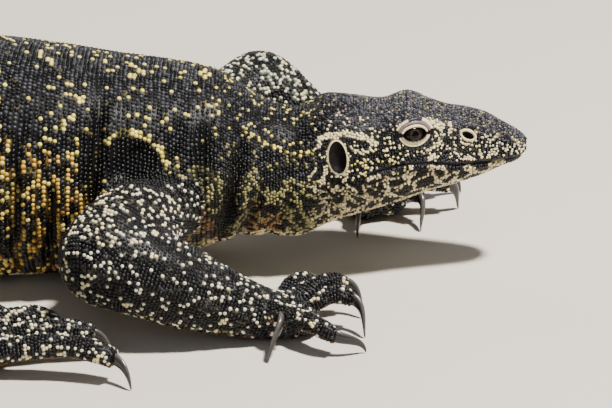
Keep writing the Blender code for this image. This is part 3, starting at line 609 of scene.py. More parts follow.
def soft_least(a, b, blend):
    """Smooth minimum: the lesser value, less a quarter of the blend where the two are equal."""
    mix = np.maximum(blend - np.abs(a - b), 0.0) / blend
    return np.minimum(a, b) - mix * mix * blend / 4


def field(p):
    """The smooth union of body, limbs, palms and digits."""
    value = body_distance(p)
    for chains, blend in ((LIMBS, LIMB_BLEND), (PALMS, PALM_BLEND), (DIGITS, DIGIT_BLEND)):
        for chain in chains:
            value = soft_least(value, chain_distance(chain, p), blend)
    return value


def field_slope(p, step=0.08):
    """The field, and its gain over a small step along each axis, divided by the step."""
    here = field(p)
    slope = np.stack([(field(p + step * axis) - here) / step for axis in np.eye(3)], axis=1)
    return here, slope


def settle(p):
    """Slides points down the field's slope onto its zero, and gives the outward direction there."""
    p = p.copy()
    for _ in range(SLIDES):
        value, slope = field_slope(p)
        size = np.maximum((slope * slope).sum(axis=1), LEAST_SLOPE)
        p -= np.clip(value / size, -LONGEST_SLIDE, LONGEST_SLIDE)[:, None] * slope
    _, slope = field_slope(p)
    p[:, 2] = np.maximum(p[:, 2], COAT_DEPTH)
    return p, slope / np.maximum(np.linalg.norm(slope, axis=1), 1e-6)[:, None]


print("field at a point inside the trunk:", round(float(field(np.array([[-120.0, 8.0, 50.0]]))[0]), 1))

# %% [markdown]
# ## The markings
# One set of rules paints skin and scales: spots on a jittered lattice, a network where two cells meet,
# and strokes along named lines of the head. A rule works on where a scale sits on the animal, so the far
# side and the tail get fitting marks too. An image would only know the side that the camera saw.

# %% Tones and patterns
def tone(red, green, blue):
    """A display colour, 0 to 255, as linear light."""
    share = np.array((red, green, blue)) / 255.0
    return np.where(share <= 0.04045, share / 12.92, ((share + 0.055) / 1.055) ** 2.4)


BLACK, SLATE, MAUVE = tone(12, 12, 14), tone(52, 52, 57), tone(120, 104, 108)
LEMON, CREAM, WHITE = tone(240, 222, 122), tone(238, 224, 178), tone(242, 237, 214)
GOLD, KHAKI, ORANGE, BROWN = tone(224, 182, 86), tone(150, 144, 96), tone(150, 106, 62), tone(92, 62, 44)
DRUM, GAPS, SUNLIT_SAGE = tone(60, 54, 52), tone(12, 12, 15), tone(196, 202, 176)
NO_SPOT = 99.0


def hashed(i, j, seed):
    """A fixed draw from 0 to 1 for a lattice cell: the fraction of a sine times a large number."""
    raw = np.sin(i * 127.1 + j * 311.7 + seed * 74.7) * 43758.5453
    return raw - np.floor(raw)


def nearest_cells(u, v, pitch_u, pitch_v, size_u, size_v, chance, seed):
    """The two least distances, in spot sizes, to the jittered centres of the cells around."""
    first = np.full(u.shape, NO_SPOT)
    second = np.full(u.shape, NO_SPOT)
    for step_u in (-1, 0, 1):
        for step_v in (-1, 0, 1):
            i = np.floor(u / pitch_u) + step_u
            j = np.floor(v / pitch_v) + step_v
            centre_u = (i + 0.12 + 0.76 * hashed(i, j, seed)) * pitch_u
            centre_v = (j + 0.12 + 0.76 * hashed(i, j, seed + 1)) * pitch_v
            size = 0.78 + 0.44 * hashed(i, j, seed + 2)
            away = np.hypot((u - centre_u) / (size_u * size), (v - centre_v) / (size_v * size))
            away = np.where(hashed(i, j, seed + 3) < chance, away, NO_SPOT)
            second = np.minimum(second, np.maximum(first, away))
            first = np.minimum(first, away)
    return first, second


def spots(u, v, pitch_u, pitch_v, size_u, size_v, chance, seed):
    """True where the nearest jittered centre lies within its own spot size."""
    return nearest_cells(u, v, pitch_u, pitch_v, size_u, size_v, chance, seed)[0] < 1.0


def network(u, v, pitch_u, pitch_v, width, seed):
    """True along the borders between cells, like the pale mesh round the dark patches of the throat."""
    first, second = nearest_cells(u, v, pitch_u, pitch_v, pitch_u, pitch_v, 2.0, seed)
    return second - first < width


def lay(colour, *rules):
    """Each rule is a mask and a tone: in turn, the tone is laid over the colours where the mask holds."""
    for mask, shade in rules:
        colour[mask] = shade


print("darkest tone", BLACK.round(4), "palest", WHITE.round(2))

# %% [markdown]
# ## Marks of the head
# Each stroke is a short chain of points on the head's side with a half width, in millimetres ahead and
# up. They give the cream band over the ear, the patches before the eye and on the snout, and the bars on
# lips and jaw. The rings of the lids come with the lids.

# %% Strokes of the head
# Each row: half width, then the points, ahead and up.
STROKES = (
    # round the ear and over the temple
    (1.15, (68.9, 68.6), (69.1, 71.3), (73.0, 72.5), (82.5, 73.9), (86.9, 72.8), (92.1, 71.6), (96.5, 69.1)),
    (0.8, (85.1, 67.1), (89.9, 65.8), (93.6, 67.0)), (1.1, (72.8, 58.4), (71.8, 54.1), (69.4, 50.2)),
    (0.8, (69.6, 51.0), (73.7, 49.7), (77.0, 45.6)), (0.7, (77.4, 49.0), (80.7, 45.7)),
    (0.8, (82.9, 50.4), (86.9, 47.0)), (0.9, (83.1, 64.2), (82.8, 57.5), (81.0, 51.8)),
    # before the eye and on the snout
    (1.3, (121.9, 78.6), (124.4, 76.4), (127.8, 74.3)), (1.0, (127.8, 70.7), (125.9, 67.0), (120.6, 64.6)),
    (0.8, (131.2, 75.4), (132.3, 73.2)), (0.6, (144.8, 72.4), (144.2, 70.5)),
    (0.8, (151.0, 66.5), (155.0, 68.8)), (0.8, (152.3, 62.0), (153.2, 60.2)),
    (0.6, (161.3, 66.7), (164.2, 63.6), (164.9, 60.6)),
    # lips
    (1.8, (151.7, 54.6), (156.5, 55.5)), (1.9, (139.9, 53.9), (143.2, 52.0)),
    (0.9, (138.4, 59.4), (142.5, 58.6)), (1.0, (121.9, 60.8), (123.7, 62.3), (124.8, 60.4)),
    (0.9, (121.5, 56.6), (127.8, 55.6), (129.6, 53.9), (129.0, 50.2)), (0.9, (123.4, 52.4), (125.2, 51.2)),
    # jaw
    (1.2, (110.5, 52.2), (114.2, 54.3)), (0.9, (109.4, 57.4), (113.1, 57.8)),
    (1.0, (92.1, 53.2), (98.3, 54.9)), (0.8, (91.9, 50.4), (95.4, 47.5)),
    (0.7, (103.5, 55.9), (106.1, 55.5)), (0.6, (99.4, 46.6), (106.1, 47.9), (111.2, 48.8)),
    # cheek, side of the snout and neck
    (0.8, (137.3, 66.6), (142.1, 65.1)), (0.6, (131.8, 69.3), (134.0, 68.8)),
    (0.6, (131.8, 63.8), (135.1, 63.6)), (0.6, (145.4, 61.8), (146.5, 59.4)),
    (1.2, (64.0, 60.1), (65.6, 63.7), (66.3, 57.2), (63.2, 51.1)),
)


def stroke_mask(x, z):
    """True within a stroke's half width of its chain of points."""
    inside = np.zeros(x.shape, bool)
    for half_width, *points in STROKES:
        for (x0, z0), (x1, z1) in zip(points, points[1:]):
            along_x, along_z = x1 - x0, z1 - z0
            share = ((x - x0) * along_x + (z - z0) * along_z) / (along_x**2 + along_z**2)
            share = np.clip(share, 0.0, 1.0)
            inside |= np.hypot(x - x0 - share * along_x, z - z0 - share * along_z) < half_width
    return inside


def paint_head(colour, x, z, above, draw):
    """Slate top lightened as painted sheen, with pale specks, dotted cheek, netted jaw and chin, then
    strokes, ear, eye and nostril.
    """
    head = x > 66.0 + 2.5 * np.sin(z / 3.0)
    lip = mouth_height(x)
    top = head & (above + 3.5 * np.sin(x / 3.1) + 2.5 * np.sin(x / 1.3 + 1.0) > 34)
    cheek = head & ~top & (z > lip)
    jaw = head & (z < lip - 3.5)
    low_side = head & (above < 52)
    u, v = x + 0.5 * z, z - 0.5 * x
    near_ear = hollow_measure(EAR, x, z)
    lay(colour,
        # The animal's grey on top of the head, lightened as painted sheen; the mauve specks are painted
        # sheen too.
        (top, SLATE * 1.75),
        (top & (draw < 0.30 + 0.55 * (1 - ramp(x, 64, 96))), BLACK),
        (top & (draw < 0.05), MAUVE),
        (top & (draw > 0.935), KHAKI),
        (top & (x < 108) & (above < 62) & (draw > 0.945), CREAM * 0.85),
        (cheek & (draw < np.where(x > 84, 0.24, 0.05)), CREAM),
        (cheek & (draw > 0.91) & (x < 112) & (x > 84) & (z < 70), LEMON * 0.8),
        (cheek & (draw > 0.72) & (x > 108), SLATE),
        (cheek & (x > 146) & (draw > 0.87), WHITE * 0.7),
        (jaw & network(u, v, 11.5, 7.5, 0.16, 31) & (draw < 0.82), CREAM * 0.9),
        (jaw & (z < 47) & (x < 98) & network(u, v, 6.0, 3.8, 0.18, 33) & (draw < 0.80), CREAM * 0.52),
        (head & (above < -58) & network(x, v, 7.0, 6.0, 0.30, 35), CREAM * 0.75),
        (head & (np.abs(z - lip) < 1.9) & (x > 92) & (draw < 0.8), SLATE),
        (low_side & stroke_mask(x, z) & (draw < 0.94), CREAM),
        (low_side & (near_ear < 1.22), CREAM * 0.9),
        (low_side & (near_ear < 1.0), DRUM),
        (low_side & (hollow_measure(EYE, x, z) < 1.25), BLACK),
        (low_side & (hollow_measure(NOSTRIL, x, z) < 0.85), BROWN * 0.35))


print("strokes on the head:", len(STROKES))

# %% [markdown]
# ## Marks of trunk, neck and limbs
# The back is black with single yellow scales, some in loose cross rows. The flank behind the arm has
# upright golden streaks, the neck a khaki net, the tail yellow rings. Wandering edges keep the zones from
# showing.

# %% Paint of trunk and tail
BEHIND_ARM, STREAKS_END = 197.0, (250, 300)


def paint_trunk(colour, u, v, above, draw, trunk, tail):
    """Black back, greyer upwards as painted sheen, with single yellow scales, a golden streaked flank, a
    barred belly, a ringed tail.
    """
    wander = 7.0 * np.sin(u / 21.0) + 5.0 * np.sin(u / 7.7 + 2.0)
    row = 0.5 + 0.5 * np.cos(2 * math.pi * (u + 3.0 * np.sin(v / 15.0)) / 36.0)
    bars = np.cos(2 * math.pi * u / 24.0 + 1.3 * np.sin(v / 9.0)) < 0.35
    ring = np.cos(2 * math.pi * u / 42.0 + 0.5 * np.sin(v / 5.0))
    further = ramp(u, *STREAKS_END)
    back = trunk & ~tail & (above > 2 + wander)
    upper = back & (above < 42 + wander) & (u > BEHIND_ARM)
    flank = trunk & ~tail & (above <= 22 + wander) & (above > -56) & (u > BEHIND_ARM)
    streak = flank & spots(u, v, 5.0, 14.0, 1.35, 7.0, 0.95, 11)
    lay(colour,
        # Slate scales: partly the animal's grey, partly painted sheen, so more of them stand higher up,
        # towards the lit back.
        (trunk & (draw < 0.20 + 0.25 * ramp(above, 10, 50)), SLATE * 1.1),
        (back & spots(u, v, 5.8, 5.4, 0.95, 0.95, 0.50, 3), LEMON),
        (back & (row > 0.55) & spots(u, v, 7.0, 6.4, 1.2, 1.2, 0.62, 7), LEMON),
        (back & (row > 0.72) & spots(u, v, 17.0, 15.0, 1.9, 1.9, 0.4, 9), LEMON),
        (streak & (draw < 0.80 - 0.58 * further), GOLD),
        (streak & (draw < 0.16 * (1 - further)), ORANGE),
        (upper & spots(u, v, 5.0, 9.0, 1.2, 3.6, 0.85, 12) & (draw < 0.8 - 0.7 * further), GOLD),
        (flank & spots(u, v, 5.2, 5.2, 1.05, 1.15, 0.66, 13), LEMON),
        (trunk & (above <= -52 + 0.4 * wander) & bars & (draw < 0.9), CREAM * 0.85),
        (tail & (ring > 0.25) & spots(u, v, 4.8, 5.0, 2.0, 1.8, 0.88, 17), LEMON),
        (tail & spots(u, v, 7.0, 6.5, 1.3, 1.3, 0.4, 19), CREAM))


print("golden streaks from", BEHIND_ARM, "mm behind the snout")

# %% [markdown]
# ## Neck and shoulder
# The nape is nearly black over a line of yellow beads, and the side is a khaki net that breaks up along
# wavy borders. The hollow over the upper arm is painted shade, darker than black, so that it reads as deep.

# %% Paint of neck and shoulder
NAPE_BEADS = 32, 67


def paint_neck(colour, x, z, v, above, draw, neck):
    """Dark nape over a line of yellow beads, then a khaki net round black patches, warmer at the chest."""
    wander = 5.0 * np.sin(x / 5.3) + 4.0 * np.sin(x / 2.2 + 1.0)
    net_u, net_v = x + 0.45 * z, v - 0.25 * x
    side = neck & (above > -58) & (above < 14 + wander) & network(net_u, net_v, 19.0, 15.0, 0.52, 23)
    side &= network(net_u, net_v, 6.4, 5.8, 0.34, 24)
    warm = side & (above < -16 + wander) & (x < 50) & (np.sin(net_u / 4.0) + np.sin(net_v / 5.0) > -0.2)
    high = neck & (above >= 14 + wander) & (above < 38)
    throat = neck & (above <= -50 + 0.5 * wander)
    bead_line = (x > NAPE_BEADS[0]) & (x < NAPE_BEADS[1]) & (np.abs(above - 39 + 0.46 * (x - 46.5)) < 2.4)
    lay(colour,
        (side & (draw < 0.88), KHAKI),
        (warm & (draw < 0.6), ORANGE),
        # Painted glints: slate scales among the black of the upper neck.
        (neck & (above > 8) & (draw < 0.34), SLATE * 1.1),
        (high & spots(x, v, 3.4, 7.0, 0.9, 2.2, 0.6, 27) & (draw < 0.55), KHAKI * 0.8),
        (neck & (above >= 38) & (draw < 0.10), LEMON * 0.8),
        (throat & network(x, v, 8.5, 7.5, 0.30, 29) & (draw < 0.85), CREAM * 0.85),
        (bead_line & (np.mod(x, 3.3) < 1.9), LEMON))


def paint_shoulder(colour, x, y, z, draw):
    """Shoulder hollow: painted shade darker than black, with a border of yellow beads along its upper edge.
    """
    shoulder = hollow_measure(SHOULDER_HOLLOW, x, z)
    beside = np.abs(y) < 68
    lay(colour,
        (beside & (shoulder < 1.22) & (shoulder > 1.02) & (z > 64) & (draw < 0.72), LEMON),
        # Painted shade: the hollow's black is darkened to about half.
        (beside & (shoulder <= 1.02), BLACK * 0.55))


print("line of beads over the neck, x from and to:", NAPE_BEADS)

# %% [markdown]
# ## The whole animal
# The zones are laid over each other from the trunk forward, and each deep fold is darkened as painted
# shade. A limb takes its marks from its own length and girth, with a seed of its own from its name.

# %% Paint of body and limbs
def paint_body(place, turn, x, y, z, draw):
    """Colours of the whole body: trunk and tail, then the neck, then the head, and last painted shade in the
    folds.
    """
    colour = np.tile(BLACK, (len(x), 1))
    _, _, top, bottom, half_width, *_ = body_values(place)
    radius = 0.5 * (half_width + 0.5 * (top - bottom))
    above = np.degrees(above_side(turn))
    v = turn * radius
    u = place + 0.14 * radius * np.cos(2 * turn)
    blend = 3.0 * np.sin(v / 6.0) + 2.5 * np.sin(v / 2.3)
    paint_trunk(colour, u, v, above, draw, x <= 30 + blend, x < -300)
    paint_shoulder(colour, x, y, z, draw)
    neck = ((x > 22 + blend) | ((x > -2 + blend) & (above < 18 - 0.5 * blend))) & (x <= 68)
    lay(colour, (neck, BLACK))
    paint_neck(colour, x, z, v, above, draw, neck)
    paint_head(colour, x, z, above, draw)
    # Painted shade: the colour along each deep fold is darkened nearly to black.
    colour *= (1 - np.minimum(0.97, 1.35 * fold_shade(x, np.where(np.cos(turn) > 0, 1.0, -1.0), z)))[:, None]
    return colour


def paint_chain(chain, place, turn, p, draw):
    """Limbs: black with single white scales and a few larger spots. Toes: denser flecks and blotches."""
    colour = np.tile(BLACK, (len(place), 1))
    v = turn * chain.across.mean()
    seed = float(sum(map(ord, chain.name)) % 89)
    under = np.sin(turn) < -0.66
    hind = "foot" in chain.name
    lay(colour, (draw < 0.2, SLATE * 0.7))
    if hind or "hand" in chain.name:
        lay(colour,
            (spots(place, v, 3.6, 3.5, 0.85, 0.85, 0.78 if hind else 0.55, seed), WHITE * 0.9),
            (spots(place, v, 9.5, 8.0, 1.8, 1.5, 0.62 if hind else 0.3, seed + 5), CREAM),
            (under & (draw < 0.6), ORANGE * 0.45),
            (under & (draw < 0.25), BROWN))
        return colour
    front = "arm" in chain.name
    lay(colour,
        (spots(place, v, 3.7, 3.6, 0.8, 0.8, 0.84 if front else 0.66, seed), WHITE * 0.86),
        (spots(place, v, 13.0, 12.0, 1.6, 1.6, 0.6, seed + 5), CREAM))
    # Painted light: pale sage spots on the far arm only, as if bleached by the light.
    if front and "left" in chain.name:
        lay(colour, (spots(place, v, 4.4, 4.2, 1.15, 1.1, 0.8, seed + 2), SUNLIT_SAGE))
    # Painted highlight: more cream scales on top of the near upper arm, where the light falls.
    if chain.name == "upper_arm_right":
        lay(colour, ((p[:, 2] > 52) & (p[:, 1] < -62) & (draw < 0.15), CREAM))
    if chain.name.startswith("upper_arm"):
        # The shoulder hollow's painted shade and its yellow border run onto the upper arm.
        paint_shoulder(colour, *p.T, draw)
    lay(colour, (under & network(place, v, 8.0, 7.0, 0.22, seed + 9) & (draw < 0.45), KHAKI * 0.5))
    return colour


print("paint rules ready for the body and", len(CHAINS), "chains")

# %% [markdown]
# ## Meshes from arrays
# Points, corners and faces go straight into a mesh, with a colour for each point. This keeps a million
# triangles quick to make. A modelling operator for each scale would take hours.

# %% Mesh helpers
def placed(points):
    """Millimetres of the design into metres of the frame."""
    return (points - ORIGIN) * MM


def put(name, data):
    """An object on this data, in the scene."""
    obj = bpy.data.objects.new(name, data)
    bpy.context.scene.collection.objects.link(obj)
    return obj


def add_mesh(name, points, corners, sizes, colours=None, patches=None):
    """A mesh object from point, corner and face-size arrays, with a colour per point and a UV per corner."""
    mesh = bpy.data.meshes.new(name)
    mesh.vertices.add(len(points))
    mesh.vertices.foreach_set("co", placed(points).astype(np.float32).ravel())
    mesh.loops.add(len(corners))
    mesh.loops.foreach_set("vertex_index", corners.astype(np.int32))
    mesh.polygons.add(len(sizes))
    mesh.polygons.foreach_set("loop_start", (np.cumsum(sizes) - sizes).astype(np.int32))
    mesh.update(calc_edges=True)
    mesh.polygons.foreach_set("use_smooth", np.ones(len(sizes), bool))
    if patches is not None:
        layer = mesh.uv_layers.new(name="OFBake")
        layer.data.foreach_set("uv", patches.astype(np.float32).ravel())
    if colours is not None:
        colour_points(mesh, colours)
    return put(name, mesh)


def colour_points(mesh, colours):
    """The colours as a point attribute called paint, fully opaque."""
    layer = mesh.color_attributes.new(name="paint", type="FLOAT_COLOR", domain="POINT")
    solid = np.column_stack((colours, np.ones(len(colours))))
    layer.data.foreach_set("color", solid.astype(np.float32).ravel())


def outward(points, corners, sizes):
    """The corners of the same faces, turned so that the volume they enclose is positive."""
    starts = np.cumsum(sizes) - sizes
    volume = 0.0
    for k in range(1, sizes.max() - 1):
        has = sizes > k + 1
        a, b, c = (points[corners[starts[has] + step]] for step in (0, k, k + 1))
        volume += np.einsum("ij,ij->i", a, np.cross(b, c)).sum()
    if volume > 0:
        return corners
    owner = np.repeat(np.arange(len(sizes)), sizes)
    within = np.arange(len(corners)) - starts[owner]
    return corners[starts[owner] + sizes[owner] - 1 - within]


def tube_mesh(grid):
    """Points, corners and sizes of a closed tube: quads between rings, a fan round a pole at each end."""
    rows, sides = grid.shape[:2]
    points = np.vstack((grid.reshape(-1, 3), grid[0].mean(axis=0), grid[-1].mean(axis=0)))
    here = np.arange(rows * sides).reshape(rows, sides)
    after = np.roll(here, -1, axis=1)
    quads = np.stack((here[:-1], here[1:], after[1:], after[:-1]), axis=-1).reshape(-1, 4)
    start = np.column_stack((np.full(sides, rows * sides), here[0], after[0]))
    end = np.column_stack((np.full(sides, rows * sides + 1), after[-1], here[-1]))
    corners = np.concatenate((quads.ravel(), start.ravel(), end.ravel()))
    sizes = np.concatenate((np.full(len(quads), 4), np.full(2 * sides, 3)))
    return points, outward(points, corners, sizes), sizes


def tubes_joined(grids):
    """Several tubes as one mesh: the corners of each count on from the points before it."""
    points, corners, sizes = zip(*map(tube_mesh, grids))
    before = np.cumsum([0] + [len(part) for part in points[:-1]])
    corners = [part + count for part, count in zip(corners, before)]
    return np.vstack(points), np.concatenate(corners), np.concatenate(sizes)


def turns(sides):
    """Even turns once round, from minus half a turn."""
    return np.linspace(-math.pi, math.pi, sides, endpoint=False)


print("mesh helpers ready, one unit is", MM, "m")

# %% [markdown]
# ## One skin
# Body and limbs are lofted as separate closed tubes, then remeshed into one. The points near a junction
# slide onto the smooth field, which fills the creases. Collapsing edges brings the count down, less on
# the head.

# %% Build the skin
SKIN_VOXEL = 1.15
BODY_SIDES, LIMB_SIDES, DIGIT_SIDES = 168, 64, 36
HEAD_STEP, TRUNK_STEP, TAIL_STEP, LIMB_STEP = 0.9, 1.5, 3.0, 1.5
HEAD_END_X, HIPS_END_X, END_TURN = 58.0, -300.0, 0.02


def all_tubes():
    """Grids of the body and of every chain, as fine as the skin needs."""
    head_end, hips_end = float(body_place(HEAD_END_X)), float(body_place(HIPS_END_X))
    places = np.concatenate((np.arange(0.0, head_end, HEAD_STEP), np.arange(head_end, hips_end, TRUNK_STEP),
                             np.arange(hips_end, BODY_LENGTH - 1, TAIL_STEP), (BODY_LENGTH,)))
    yield body_surface(*np.meshgrid(places, turns(BODY_SIDES), indexing="ij"))
    for chain in CHAINS:
        low, high = chain_span(chain)
        count = max(int((high - low) / LIMB_STEP), 8)
        ease = 0.5 - 0.5 * np.cos(np.linspace(END_TURN, math.pi - END_TURN, count))
        sides = DIGIT_SIDES if "digit" in chain.name else LIMB_SIDES
        yield chain_surface(chain, *np.meshgrid(low + (high - low) * ease, turns(sides), indexing="ij"))


def applied(obj, name):
    """A new object with the mesh that the modifiers of the old one give. The old one is removed."""
    bpy.context.view_layer.update()
    mesh = bpy.data.meshes.new_from_object(obj.evaluated_get(bpy.context.evaluated_depsgraph_get()))
    mesh.name = name
    bpy.data.objects.remove(obj)
    return put(name, mesh)


def points_of(mesh):
    """The points of a mesh, back in the millimetres of the design."""
    raw = np.empty(len(mesh.vertices) * 3, np.float32)
    mesh.vertices.foreach_get("co", raw)
    return raw.reshape(-1, 3).astype(float) / MM + ORIGIN


raw_skin = add_mesh("skin_raw", *tubes_joined(all_tubes()))
remesh = raw_skin.modifiers.new("weld", "REMESH")
remesh.mode = "VOXEL"
remesh.voxel_size = SKIN_VOXEL * MM
dense_skin = applied(raw_skin, "skin_dense")
dense_points = points_of(dense_skin.data)
print("remeshed skin points:", len(dense_points))

# %% [markdown]
# ## Soft junctions and thinning
# Only points whose smooth field differs from the plain union are moved, so the face keeps its own forms.
# The collapse is weighted: a group tells how dispensable each point is.

# %% Settle and thin the skin
SOFTENED, SHARED_BAND = 0.03, 0.5
SKIN_TRIANGLES = 188000
FINE_HEAD_X, HEAD_PLAINNESS, PLAINNESS = 60, 0.15, 0.9


def softened(p):
    """True where the smooth field reaches out past the plain union of the shapes."""
    return nearest(p)[0] - field(p) > SOFTENED


soft = softened(dense_points)
dense_points[soft] = settle(dense_points[soft])[0]
dense_skin.data.vertices.foreach_set("co", placed(dense_points).astype(np.float32).ravel())
dense_skin.data.update()
group = dense_skin.vertex_groups.new(name="plain")
on_fine_head = dense_points[:, 0] > FINE_HEAD_X
group.add(np.flatnonzero(on_fine_head).tolist(), HEAD_PLAINNESS, "REPLACE")
group.add(np.flatnonzero(~on_fine_head).tolist(), PLAINNESS, "REPLACE")
thin = dense_skin.modifiers.new("thin", "DECIMATE")
dense_skin.data.calc_loop_triangles()
thin.ratio = min(1.0, SKIN_TRIANGLES / len(dense_skin.data.loop_triangles))
thin.vertex_group = "plain"
thin.vertex_group_factor = 1.0
skin = applied(dense_skin, "skin")
skin_points = points_of(skin.data)
skin.data.polygons.foreach_set("use_smooth", np.ones(len(skin.data.polygons), bool))
print("skin faces:", len(skin.data.polygons), "softened points:", int(soft.sum()))

# %% [markdown]
# ## Addresses on the animal
# To paint the skin each of its points needs an address: the shape it lies on, how far along, and how far
# round. The same rules as for the scales then colour it, much darker, so that it reads as the gaps
# between them.

# %% Paint the skin
SKIN_DRAW, SKIN_SHARE, GAP_SHARE = 0.5, 0.18, 0.6


def body_address(p):
    """The place along the spine, and the turn from rise and width as shares of the half sizes."""
    place, _, lateral, rise, half_width, over, *_ = body_section(p)
    return place, np.arctan2(rise / over, lateral / half_width)


def nearest_step(chain, p):
    """For each point, which point of the chain's path is nearest."""
    off = p[:, None, :] - chain.path[None]
    return np.argmin((off * off).sum(axis=2), axis=1)


def chain_address(chain, p):
    """How far along the chain's path each point is, and the turn round it."""
    k = nearest_step(chain, p)
    tangent, side, up = (direction[k] for direction in path_frames(chain.path, -1, chain.turn_in))
    step = p - chain.path[k]
    place = along(chain.path)[k] + (step * tangent).sum(axis=1)
    return place, np.arctan2((step * up).sum(axis=1), (step * side).sum(axis=1))


def paint_points(p, draw):
    """Colours of any points on the skin, each by the rules of the shape it lies on."""
    owner = nearest(p)[1]
    colour = np.empty((len(p), 3))
    of_body = owner == 0
    colour[of_body] = paint_body(*body_address(p[of_body]), *p[of_body].T, draw[of_body])
    for number, chain in enumerate(CHAINS, 1):
        here = owner == number
        if here.any():
            colour[here] = paint_chain(chain, *chain_address(chain, p[here]), p[here], draw[here])
    return colour


skin_colours = paint_points(skin_points, np.full(len(skin_points), SKIN_DRAW))
skin_colours = skin_colours * SKIN_SHARE + GAPS * GAP_SHARE
colour_points(skin.data, skin_colours)
print("skin painted, mean", skin_colours.mean(axis=0).round(3))

# %% [markdown]
# ## Scales
# Each scale is a low dome of 22 triangles on a six-sided foot. They stand in rows across the body, closer
# where the animal's are small, and are finest on the face and toes. Instances on points could do it too,
# but arrays keep one colour and one place on the unwrap for each scale.

# %% Rows of scales
Scales = namedtuple("Scales", "root outward ahead long wide tall colour u v")
ROW_SAMPLES, AHEAD_STEP, AROUND_STEP, TINY = 1600, 0.3, 0.01, 1e-9


def row_places(point_at, low, high, step):
    """Places whose rows lie one step apart over the surface, so that rounded ends are covered as closely."""
    fine = low + (high - low) * (0.5 - 0.5 * np.cos(np.linspace(0.0, math.pi, ROW_SAMPLES)))
    side, top = (along(point_at(fine, np.full(ROW_SAMPLES, turn))) for turn in (0.0, math.pi / 2))
    reach = 0.5 * (side + top)
    return np.interp(np.arange(0.5 * step, reach[-1], step), reach, fine)


def row_positions(point_at, places, pitch_at, scatter, samples):
    """Rows and turns, evenly spread: each row holds as many scales as its girth, in pitches, needs."""
    turn = np.linspace(-math.pi, math.pi, samples + 1)
    ring = point_at(*np.meshgrid(places, turn, indexing="ij"))
    steps = np.linalg.norm(np.diff(ring, axis=1), axis=2) / pitch_at(0.5 * (turn[:-1] + turn[1:]))[None, :]
    reach = np.concatenate((np.zeros((len(places), 1)), np.cumsum(steps, axis=1)), axis=1)
    count = np.maximum(np.round(reach[:, -1]).astype(int), 5)
    row = np.repeat(np.arange(len(places)), count)
    order = np.arange(len(row)) - np.repeat(np.cumsum(count) - count, count)
    jitter = rng.uniform(-scatter, scatter, len(row))
    share = np.mod((order + 0.5 * (row % 2) + 0.25 + jitter) / count[row], 1.0)
    spread = reach / reach[:, -1:] + 2.0 * np.arange(len(places))[:, None]
    return row, np.interp(share + 2.0 * row, spread.ravel(), np.tile(turn, len(places)))


def sprout(point_at, span, step, pitch_at, scatter, samples):
    """Scales in rows on a surface: row place, own place, turn, root, outward way and way ahead.

    Each scale strays a little from its row. Small steps on the surface, along and round, give its two ways.
    """
    places = row_places(point_at, *span, step)
    row, turn = row_positions(point_at, places, pitch_at, scatter, samples)
    place = places[row] + rng.uniform(-scatter, scatter, len(row)) * np.gradient(places)[row]
    ahead = point_at(place - AHEAD_STEP, turn) - point_at(place + AHEAD_STEP, turn)
    around = point_at(place, turn + AROUND_STEP) - point_at(place, turn - AROUND_STEP)
    way = np.cross(ahead, around)
    way /= np.maximum(np.linalg.norm(way, axis=1), TINY)[:, None]
    return places[row], place, turn, point_at(place, turn), way, ahead


def settle_scales(root, way, own, blend):
    """Scales near a junction move onto the smooth skin; those that another shape has nearer are left out."""
    near = np.flatnonzero(nearest(root, own)[0] < blend + 1.0)
    soft = near[softened(root[near])]
    if len(soft):
        root[soft], way[soft] = settle(root[soft])
    own_away = body_distance(root[near]) if own == "body" else chain_distance(own, root[near])
    keep = np.ones(len(root), bool)
    keep[near] = own_away <= nearest(root[near], own)[0] + SHARED_BAND
    return keep


print("rows are measured at", ROW_SAMPLES, "places")

# %% [markdown]
# ## Which scales stand where
# The body is cropped into eight lengths, each with its own pitch. That keeps every piece of scales small.
# The pitch grows from face to tail and from back to belly, as on the animal.

# %% Scales of the body
Crop = namedtuple("Crop", "name start end row back belly height scatter")
CROPS = [Crop(*row) for row in (
    ("scales_snout", 169.5, 112, 1.15, 1.15, 1.6, 0.34, 0.36),
    ("scales_temples", 112, 64, 1.25, 1.25, 1.8, 0.36, 0.36),
    ("scales_neck", 64, 18, 1.6, 1.6, 2.2, 0.40, 0.24),
    ("scales_chest", 18, -62, 2.05, 2.1, 2.9, 0.40, 0.13),
    ("scales_trunk", -62, -140, 2.2, 2.25, 3.1, 0.38, 0.12),
    ("scales_loin", -140, -215, 2.35, 2.4, 3.2, 0.38, 0.12),
    ("scales_hips", -215, -330, 2.4, 2.4, 3.1, 0.38, 0.12),
    ("scales_tail", -330, -1036, 3.2, 2.7, 3.3, 0.32, 0.08),
)]
BODY_SAMPLES, TAIL_TAPER = 300, (1.05, 0.6)
LID_MARGIN, NOSTRIL_MARGIN, EAR_MARGIN, MOUTH_MARGIN = 1.42, 1.25, 1.10, 0.62


def bare_mask(root):
    """True where no scale stands: lids, nostril, ear drum and the line of the mouth."""
    x, z = root[:, 0], root[:, 2]
    openings = ((EYE, LID_MARGIN), (NOSTRIL, NOSTRIL_MARGIN), (EAR, EAR_MARGIN))
    bare = np.any([hollow_measure(hollow, x, z) < margin for hollow, margin in openings], axis=0)
    mouth = (x > MOUTH_X[0] + 2) & (np.abs(z - mouth_height(x)) < MOUTH_MARGIN)
    return bare & (x > 62) & (np.abs(root[:, 1]) > 5) | mouth


